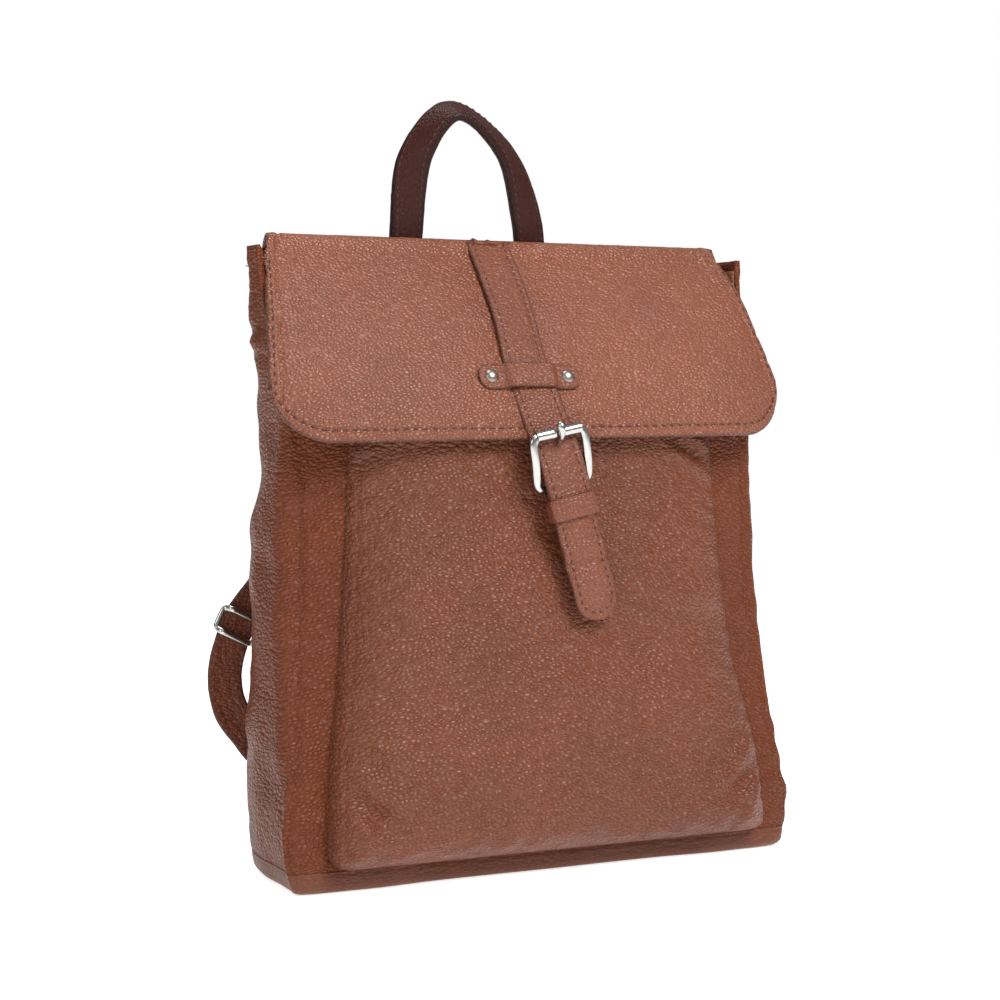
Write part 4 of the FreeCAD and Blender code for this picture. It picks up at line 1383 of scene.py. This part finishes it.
            ring = (seat + out * profile[:, 1, None, None]
                    + side * (profile[:, 0, None] * np.cos(turn))[..., None]
                    + down * (profile[:, 0, None] * np.sin(turn))[..., None])
            rivet = new_piece(f"Bridge_rivet_{end.value}", ring.reshape(-1, 3),
                              grid_faces(len(profile), len(turn), wrap=True), Finish.RIVET)
            close_poles(rivet)
            settle(rivet, "flap", "aged_nickel", "bridge_rivets")
            pieces.append(rivet)
        return pieces


# ------------------------------------------------------------------ handle and straps

@dataclass
class Handle:
    """Carrying loop: a folded strap that twists as it goes over.

    Attributes:
        width: strap width.
        thickness: of the folded strap.
        line: places that its middle passes.
    """

    width: float = 20.0
    thickness: float = 5.0
    line: tuple = ((-48.0, 43.0, 318.0), (-47.5, 42.0, 345.0), (-43.0, 38.5, 384.0),
                   (-22.5, 35.5, 408.0), (8.5, 36.5, 388.0), (24.5, 40.0, 350.0),
                   (28.0, 42.0, 318.0))

    def build(self) -> list:
        """Strap laid along the line, its width direction leaning back toward the top.

        Returns:
            The handle and its two rows of stitches.
        """
        count = 200
        path = path_through(self.line, count)
        s = np.linspace(0.0, 1.0, count)
        along = unit(np.gradient(path, axis=0))
        face = np.array([0.0, -1.0, 0.0])
        side = unit(np.cross(along, face))
        lean = through([0.0, 0.18, 0.36, 0.5, 0.66, 0.82, 1.0],
                       [0.0, 8.0, 48.0, 58.0, 40.0, 10.0, 0.0], s) * math.pi / 180
        normal = unit(np.cross(side, along))
        normal = normal * np.sign(np.sum(normal * face, 1))[:, None]
        side2 = side * np.cos(lean)[:, None] + normal * np.sin(lean)[:, None]
        out = unit(np.cross(along, side2))
        out = out * np.sign(np.sum(out * normal, 1) + 1e-6)[:, None]
        across = np.linspace(-1.0, 1.0, 17)
        half = self.width / 2 - 2.4
        crown = 0.7 * (1 - across[None] ** 2) + 0.12 * ripple(s[:, None] * 60, across[None] * 3, 91)
        grid = (path[:, None] + side2[:, None] * (across * half)[None, :, None]
                + out[:, None] * (self.thickness / 2 + crown)[..., None])
        if np.sum(surface_normals(grid) * out[:, None]) < 0:
            grid = grid[:, ::-1]
        piece = slab("Handle", grid, self.thickness, Finish.HANDLE, 8)
        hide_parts("handle")
        normal = surface_normals(grid)
        pieces = [piece]
        for name, column in (("outer", 1.2), ("inner", 14.8)):
            rows = np.linspace(2, count - 3, 300)
            place = np.full(300, column)
            row = stitches(f"Handle_stitches_{name}", pick_line(grid, rows, place),
                           pick_line(normal, rows, place), 4.2, Finish.THREAD, 0.34)
            pieces.append(row)
        for part in pieces:
            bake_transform(part)
            LOG.info("%s: %d faces, bending at its sewn ends", part.name, len(part.data.polygons))
        return pieces


@dataclass
class ShoulderStrap:
    """One shoulder strap: wide upper part, narrow adjuster that loops out and in to the foot tab.

    Attributes:
        side: which strap it is.
        wide: width of the upper part.
        narrow: width of the adjuster.
        upper: places that the upper part's middle passes, on the left strap.
        lower: places that the adjuster's middle passes, on the left strap.
    """

    side: Side
    wide: float = 30.0
    narrow: float = 19.0
    upper: tuple = ((-50.0, 39.3, 306.0), (-58.0, 41.5, 293.0), (-82.0, 51.5, 258.0),
                    (-101.0, 53.6, 221.0), (-113.0, 53.6, 184.0))
    lower: tuple = ((-108.0, 52.3, 202.0), (-109.0, 52.3, 187.0), (-114.0, 52.2, 168.0),
                    (-127.0, 52.1, 149.0), (-141.5, 52.1, 130.0), (-150.0, 52.0, 101.0),
                    (-147.5, 50.0, 83.0), (-137.0, 47.0, 67.0), (-127.0, 43.0, 52.0),
                    (-121.0, 39.8, 33.0))

    def build(self) -> list:
        """Both parts with the stitches along their sides."""
        name = self.side.value
        upper = self.strip(f"Shoulder_strap_{name}", self.upper, self.wide, 4.0, 130)
        lower = self.strip(f"Adjuster_strap_{name}", self.lower, self.narrow, 2.0, 130)
        body = f"{name}_strap"
        settle(upper[0], body, "strap_leather", f"shoulder_strap_{name}")
        settle(lower[0], body, "strap_leather", f"adjuster_strap_{name}")
        return [*upper, *lower]

    def strip(self, name: str, line: Sequence, width: float, thick: float, count: int) -> list:
        """Flat strap behind the bag, its face to the back, stitched along both sides on both faces.

        Args:
            name: object name.
            line: places that its middle passes, on the left strap.
            width: its width.
            thick: its thickness.
            count: rows along it.

        Returns:
            The strap and its four rows of stitches.
        """
        path = path_through(line, count) * np.array([-self.side.sign, 1.0, 1.0])
        along = unit(np.gradient(path, axis=0))
        side = unit(np.stack([-along[:, 2], 0 * along[:, 0], along[:, 0]], -1))
        out = unit(np.cross(side, along))
        out = out * np.sign(out[:, 1:2])
        across = np.linspace(-1.0, 1.0, 17)
        half = width / 2 - thick * 0.4
        crown = 0.5 * (1 - across**2)
        noise = 0.25 * ripple(np.arange(count)[:, None] / 5.0, across[None] * 2.5, 95)
        grid = (path[:, None] + side[:, None] * (across * half)[None, :, None]
                + out[:, None] * (crown[None] + noise)[..., None])
        if np.sum(surface_normals(grid) * out[:, None]) < 0:
            grid = grid[:, ::-1]
        piece = slab(name, grid, thick, Finish.STRAP, 6)
        normal = surface_normals(grid)
        rows = np.linspace(1, count - 2, 260)
        pieces = [piece]
        for tag, column, face, lift in (("a", 2.0, 1.0, 0.0), ("b", 14.0, 1.0, 0.0),
                                        ("c", 2.0, -1.0, thick), ("d", 14.0, -1.0, thick)):
            place = np.full(260, column)
            at = pick_line(grid, rows, place)
            up = pick_line(normal, rows, place)
            row = stitches(f"{name}_stitches_{tag}", at - up * lift, up * face, 4.4,
                           Finish.THREAD, 0.36)
            pieces.append(settle(row, f"{self.side.value}_strap", "strap_leather"))
        return pieces


@dataclass
class BackPieces:
    """Yoke over the sewn ends at the top of the back, and the two foot tabs."""

    def build(self) -> list:
        """Thin patches with rounded corners, stitched all round."""
        pieces = self.patch("Back_yoke", (-68.0, 68.0), (286.0, 320.0), 8.0, 38.7, "back_yoke")
        for side in Side:
            low, high = sorted((side.sign * 106.0, side.sign * 136.0))
            pieces += self.patch(f"Strap_tab_{side.value}", (low, high), (22.0, 52.0), 5.0, 38.6,
                                 f"strap_tab_{side.value}")
        return pieces

    def patch(self, name: str, x_span: tuple, z_span: tuple, radius: float, y: float,
              node: str) -> list:
        """Rounded rectangle facing the back: rows bulge in at the corners.

        Args:
            name: object name.
            x_span: sides.
            z_span: bottom and top.
            radius: corner radius.
            y: its outer face.
            node: CAD piece that it stands for.

        Returns:
            The patch and its stitches.
        """
        u = np.sin(np.linspace(-1, 1, 60) * 1.35) / math.sin(1.35)
        v = np.sin(np.linspace(-1, 1, 30) * 1.35) / math.sin(1.35)
        mid_x, half_x = sum(x_span) / 2, (x_span[1] - x_span[0]) / 2
        mid_z, half_z = sum(z_span) / 2, (z_span[1] - z_span[0]) / 2
        z = half_z * v
        over = np.maximum(np.abs(z) - (half_z - radius), 0.0) / radius
        wide = half_x - radius * (1 - np.sqrt(np.maximum(1 - over**2, 0.0)))
        x = mid_x + u[None] * wide[:, None]
        grid = np.stack([x, np.full_like(x, y) + 0.2 * ripple(x / 9.0, z[:, None] / 7.0, 97),
                         np.broadcast_to((mid_z + z)[:, None], x.shape)], -1)
        piece = slab(name, grid, 2.3, Finish.STRAP, 5)
        settle(piece, "bag", "strap_leather", node)
        angle = np.linspace(0, 2 * math.pi, 400)
        square = (np.abs(np.cos(angle)) ** 8 + np.abs(np.sin(angle)) ** 8) ** (-1 / 8)
        line = np.stack([mid_x + (half_x - 3.6) * np.cos(angle) * square, np.full(400, y + 0.1),
                         mid_z + (half_z - 3.6) * np.sin(angle) * square], -1)
        row = stitches(f"{name}_stitches", line, np.tile([0.0, 1.0, 0.0], (400, 1)), 4.4,
                       Finish.THREAD, 0.4)
        return [piece, settle(row, "bag", "strap_leather")]


@dataclass
class Interior:
    """Cloth lining and the leather facing round the mouth, seen when the flap is up."""

    def build(self, body: BagBody) -> list:
        """Rings set in from the bag's skin, the lining closed by a floor.

        Args:
            body: the walls.

        Returns:
            The lining and the facing.
        """
        turn = np.linspace(-1.0, 1.0, 241)[:-1]
        z = np.linspace(250.0, 10.0, 50)
        ring = body.surface(z[::-1], turn, -4.2)[::-1]
        centre = np.array([0.0, -2.0, 7.5])
        floor = [centre + (ring[-1] - centre) * share for share in (0.9, 0.6, 0.3, 0.1)]
        lining = cup("Lining", np.concatenate([ring, np.stack(floor)]), Finish.LINING)
        thicken(lining, 0.6)
        settle(lining, "bag", "lining_cloth", "lining")
        at = np.abs(turn)
        top = 323.0 - (323.0 - 266.0) * (1 - smooth_step(0.388, 0.404, at))
        foot = 244.0
        full = np.linspace(foot, 322.0, 60)
        skin = body.surface(full, turn, -2.7)
        want = foot + np.linspace(0, 1, 40)[:, None] * (top[None] - foot)
        band = rows_at(skin, (want - foot) / (full[-1] - foot) * (len(full) - 1))[::-1]
        facing = new_piece("Mouth_facing", band.reshape(-1, 3), grid_faces(40, 240, wrap=True),
                           Finish.FACING)
        thicken(facing, 1.2)
        settle(facing, "bag", "facing_leather", "mouth_facing")
        return [lining, facing]


@dataclass
class Buckle:
    """Buckle: one bent frame, and a prong that ends in a bulb over the rollers.

    Attributes:
        heel: middle of the lower bar.
        across: direction of the bars.
        outward: direction away from the strap.
        reach: distance between the two bars, up the strap.
        rise: how much further out the upper bar lies.
        half: half width of the frame.
    """

    heel: tuple = (3.77, -47.601, 204.319)
    across: tuple = (0.981627, 0.035431, 0.187491)
    outward: tuple = (0.0, -0.9842, 0.1769)
    reach: float = 27.0
    rise: float = 9.4
    half: float = 15.6

    def axes(self) -> tuple:
        """Unit directions across, up the strap and outward."""
        x = unit(np.array(self.across))
        y = unit(np.cross(np.array(self.outward), x))
        return x, y, np.cross(x, y)

    def build(self) -> list:
        """Frame and prong."""
        return [self.frame_loop(), self.prong()]

    def frame_loop(self) -> bpy.types.Object:
        """Rounded rectangle, broad at its sides and thin at the two bars.

        The path is a superellipse of power seven, lifted along its length to the upper bar.

        Returns:
            The frame.
        """
        x, y, z = self.axes()
        count = 220
        angle = np.linspace(0.0, 2 * math.pi, count + 1)[:-1]
        square = (np.abs(np.cos(angle)) ** 7 + np.abs(np.sin(angle)) ** 7) ** (-1 / 7)
        a = np.cos(angle) * square * self.half
        b = np.sin(angle) * square * self.reach / 2
        share = b / self.reach + 0.5
        lift = self.rise * share + 1.4 * np.sin(math.pi * share)
        path = (np.array(self.heel) + a[:, None] * x + (b + self.reach / 2)[:, None] * y
                + lift[:, None] * z)
        along = unit(np.roll(path, -1, 0) - np.roll(path, 1, 0))
        out = unit(z - along * (along @ z)[:, None])
        side = np.cross(along, out)
        bar = 1 - smooth_step(0.55, 0.86, np.abs(a) / self.half)
        wide = 2.35 * (1 - bar) + 1.62 * bar
        deep = 1.75 * (1 - bar) + 1.62 * bar
        ring = np.linspace(0.0, 2 * math.pi, 25)[:-1]
        cs = np.sign(np.cos(ring)) * np.abs(np.cos(ring)) ** 0.8
        sn = np.sign(np.sin(ring)) * np.abs(np.sin(ring)) ** 0.8
        tube = (path[:, None] + side[:, None] * (wide[:, None] * cs)[..., None]
                + out[:, None] * (deep[:, None] * sn)[..., None])
        piece = new_piece("Buckle_frame", tube.reshape(-1, 3), loop_faces(count, len(ring)),
                          Finish.NICKEL)
        turn_outward(piece)
        return settle(piece, "buckle", "polished_nickel", "buckle_frame")

    def prong(self) -> bpy.types.Object:
        """Round wire from the lower bar, behind the strap, through it and over the rollers.

        Returns:
            The prong.
        """
        x, y, z = self.axes()
        points = [(0.6, -2.6), (3.5, -2.9), (12.0, -1.6), (17.5, -0.6), (20.2, 3.2), (22.0, 8.6),
                  (24.6, 12.4), (27.6, 14.3), (30.0, 14.2), (31.4, 13.2)]
        path = path_through([(0.0, up, out) for up, out in points], 90)
        line = np.array(self.heel) + path[:, 1:2] * y + path[:, 2:3] * z
        along = unit(np.gradient(line, axis=0))
        out = unit(np.cross(x, along))
        s = np.linspace(0, 1, 90)
        size = through([0.0, 0.05, 0.5, 0.8, 0.9, 0.96, 0.99, 1.0],
                       [1.2, 1.45, 1.4, 1.5, 1.95, 2.1, 1.5, 0.3], s)
        ring = np.linspace(0.0, 2 * math.pi, 21)[:-1]
        tube = (line[:, None] + (np.cos(ring) * size[:, None])[..., None] * x
                + out[:, None] * (np.sin(ring) * size[:, None])[..., None])
        piece = new_piece("Buckle_prong", tube.reshape(-1, 3), grid_faces(90, 20, wrap=True),
                          Finish.NICKEL)
        close_poles(piece)
        return settle(piece, "prong", "polished_nickel", "buckle_prong")


@dataclass
class Slider:
    """Three-bar slider on an adjuster: a bent loop in front of the strap, its middle bar behind.

    Attributes:
        side: which strap it is on.
        middle: its middle, on the left strap.
        lean: degrees that it turns with the strap.
        half_wide: half of the loop's width.
        half_tall: half of the loop's height.
    """

    side: Side
    middle: tuple = (-142.0, 51.2, 127.5)
    lean: float = 26.0
    half_wide: float = 11.6
    half_tall: float = 6.6

    def build(self) -> list:
        """Loop and bar, swept as round wire and joined in one mesh.

        The loop is a superellipse of power six that dips in front of the strap at its middle.

        Returns:
            The slider.
        """
        turn = math.radians(self.lean)
        x = np.array([math.cos(turn), 0.0, -math.sin(turn)])
        z = np.array([math.sin(turn), 0.0, math.cos(turn)])
        y = np.array([0.0, 1.0, 0.0])
        angle = np.linspace(0.0, 2 * math.pi, 121)[:-1]
        square = (np.abs(np.cos(angle)) ** 6 + np.abs(np.sin(angle)) ** 6) ** (-1 / 6)
        a = np.cos(angle) * square * self.half_wide
        b = np.sin(angle) * square * self.half_tall
        dip = -3.4 * (1 - smooth_step(8.0, 11.4, np.abs(a)))
        centre = np.array(self.middle)
        path = centre + a[:, None] * x + b[:, None] * z + dip[:, None] * y
        along = unit(np.roll(path, -1, 0) - np.roll(path, 1, 0))
        out = unit(np.cross(along, y))
        up = np.cross(out, along)
        ring = np.linspace(0.0, 2 * math.pi, 17)[:-1]
        tube = (path[:, None] + out[:, None] * (1.75 * np.cos(ring))[None, :, None]
                + up[:, None] * (1.25 * np.sin(ring))[None, :, None])
        faces = loop_faces(len(angle), len(ring))
        run = np.linspace(-1.0, 1.0, 25)
        bar_path = (centre + run[:, None] * self.half_wide * x
                    + (2.7 * (1 - smooth_step(0.7, 1.0, np.abs(run))))[:, None] * y)
        bar = (bar_path[:, None] + (np.cos(ring) * 1.2)[None, :, None] * z
               + (np.sin(ring) * 1.2)[None, :, None] * y)
        verts = np.concatenate([tube.reshape(-1, 3), bar.reshape(-1, 3)])
        verts[:, 0] *= -self.side.sign
        bar_faces = grid_faces(len(run), len(ring), wrap=True) + len(angle) * len(ring)
        piece = new_piece(f"Slider_{self.side.value}", verts, np.concatenate([faces, bar_faces]),
                          Finish.NICKEL)
        close_poles(piece)
        return [settle(piece, f"{self.side.value}_slider", "polished_nickel",
                       f"slider_{self.side.value}")]


@dataclass
class Hardware:
    """Pieces carried over from the frame as they are: rollers, snap and base board."""

    def build(self) -> None:
        """Give each its finish."""
        finishes = {"buckle_roller_left": Finish.NICKEL,
                    "buckle_roller_right": Finish.NICKEL,
                    "snap_stud": Finish.AGED, "snap_socket": Finish.AGED,
                    "base_board": Finish.BOARD}
        for name, finish in finishes.items():
            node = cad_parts[name]
            for slot in node.material_slots:
                slot.material = finish.material()
            LOG.info("%s: %s", name, finish.value.name)


# ------------------------------------------------------------------ studio

@dataclass
class Studio:
    """Pale floor, soft lights and the camera.

    Attributes:
        azimuth: degrees round from the front, negative to the left.
        distance: camera to the bag's upright axis, in millimetres.
        height: camera height, in millimetres.
        across: camera shift to its right, in millimetres.
        pitch: degrees that it looks down.
        lens: focal length in millimetres.
    """

    azimuth: float = -25.0
    distance: float = 1120.81
    height: float = 247.94
    across: float = -9.44
    pitch: float = 2.72
    lens: float = 74.23

    def build(self) -> None:
        """Set the stage."""
        self.floor()
        self.lights()
        self.camera()

    def floor(self) -> None:
        """Broad disc of pale board under the bag."""
        turn = np.linspace(0, 2 * math.pi, 65)[:-1]
        ring = np.stack([np.cos(turn), np.sin(turn), 0 * turn], -1)
        verts = np.concatenate([ring * r for r in (300.0, 1500.0, 6000.0)] + [np.zeros((1, 3))])
        verts[:, 2] = -0.3
        faces = grid_faces(3, 64, wrap=True).tolist()
        hub = len(verts) - 1
        fan = [[k, (k + 1) % 64, hub] for k in range(64)]
        floor = new_piece("Floor", verts, faces + fan, Finish.PAPER)

    def lights(self) -> None:
        """White world; a broad soft key high at the front right, a fill from the left, a top light.

        The world is white to the camera and dimmer for everything that it lights.
        """
        world = bpy.data.worlds.new("studio")
        world.use_nodes = True
        tree = world.node_tree
        sky = tree.nodes["Background"]
        sky.inputs["Color"].default_value = (1, 1, 1, 1)
        ray = tree.nodes.new("ShaderNodeLightPath")
        level = tree.nodes.new("ShaderNodeMapRange")
        level.inputs["To Min"].default_value = 0.31
        level.inputs["To Max"].default_value = 1.0
        tree.links.new(ray.outputs["Is Camera Ray"], level.inputs["Value"])
        tree.links.new(level.outputs["Result"], sky.inputs["Strength"])
        bpy.context.scene.world = world
        bpy.context.scene.view_settings.view_transform = "Standard"
        for name, place, size, power in (("key", (0.40, -1.25, 1.55), 0.85, 43.0),
                                         ("fill", (-1.5, -0.9, 0.9), 0.8, 7.0),
                                         ("top", (-0.2, 0.3, 1.9), 0.8, 12.0)):
            data = bpy.data.lights.new(name, "AREA")
            data.size = size
            data.energy = power
            lamp = bpy.data.objects.new(name, data)
            lamp.location = place
            aim = Vector((0.0, 0.0, 0.2)) - Vector(place)
            lamp.rotation_euler = aim.to_track_quat("-Z", "Y").to_euler()
            bpy.context.scene.collection.objects.link(lamp)

    def camera(self) -> None:
        """Camera round the front left, looking slightly down."""
        a = math.radians(self.azimuth)
        back = Vector((math.sin(a), -math.cos(a), 0.0))
        right = Vector((math.cos(a), math.sin(a), 0.0))
        data = bpy.data.cameras.new("Camera")
        data.lens = self.lens
        data.sensor_width = 36.0
        data.clip_end = 50.0
        lens = bpy.data.objects.new("Camera", data)
        lens.location = (back * self.distance + right * self.across
                         + Vector((0, 0, self.height))) * MM
        lens.rotation_euler = (math.radians(90.0 - self.pitch), 0.0, a)
        bpy.context.scene.collection.objects.link(lens)
        bpy.context.scene.camera = lens


def main() -> None:
    """Build the bag from the ground up, then the stage."""
    logging.basicConfig(level=logging.INFO, format="%(message)s")
    body = BagBody()
    body.build()
    FrontPocket().build(body)
    Interior().build(body)
    Flap().build(Closure())
    ClosingStrap().build()
    Handle().build()
    for side in Side:
        ShoulderStrap(side).build()
        Slider(side).build()
    BackPieces().build()
    Buckle().build()
    Hardware().build()
    Studio().build()


if __name__ == "__main__":
    main()
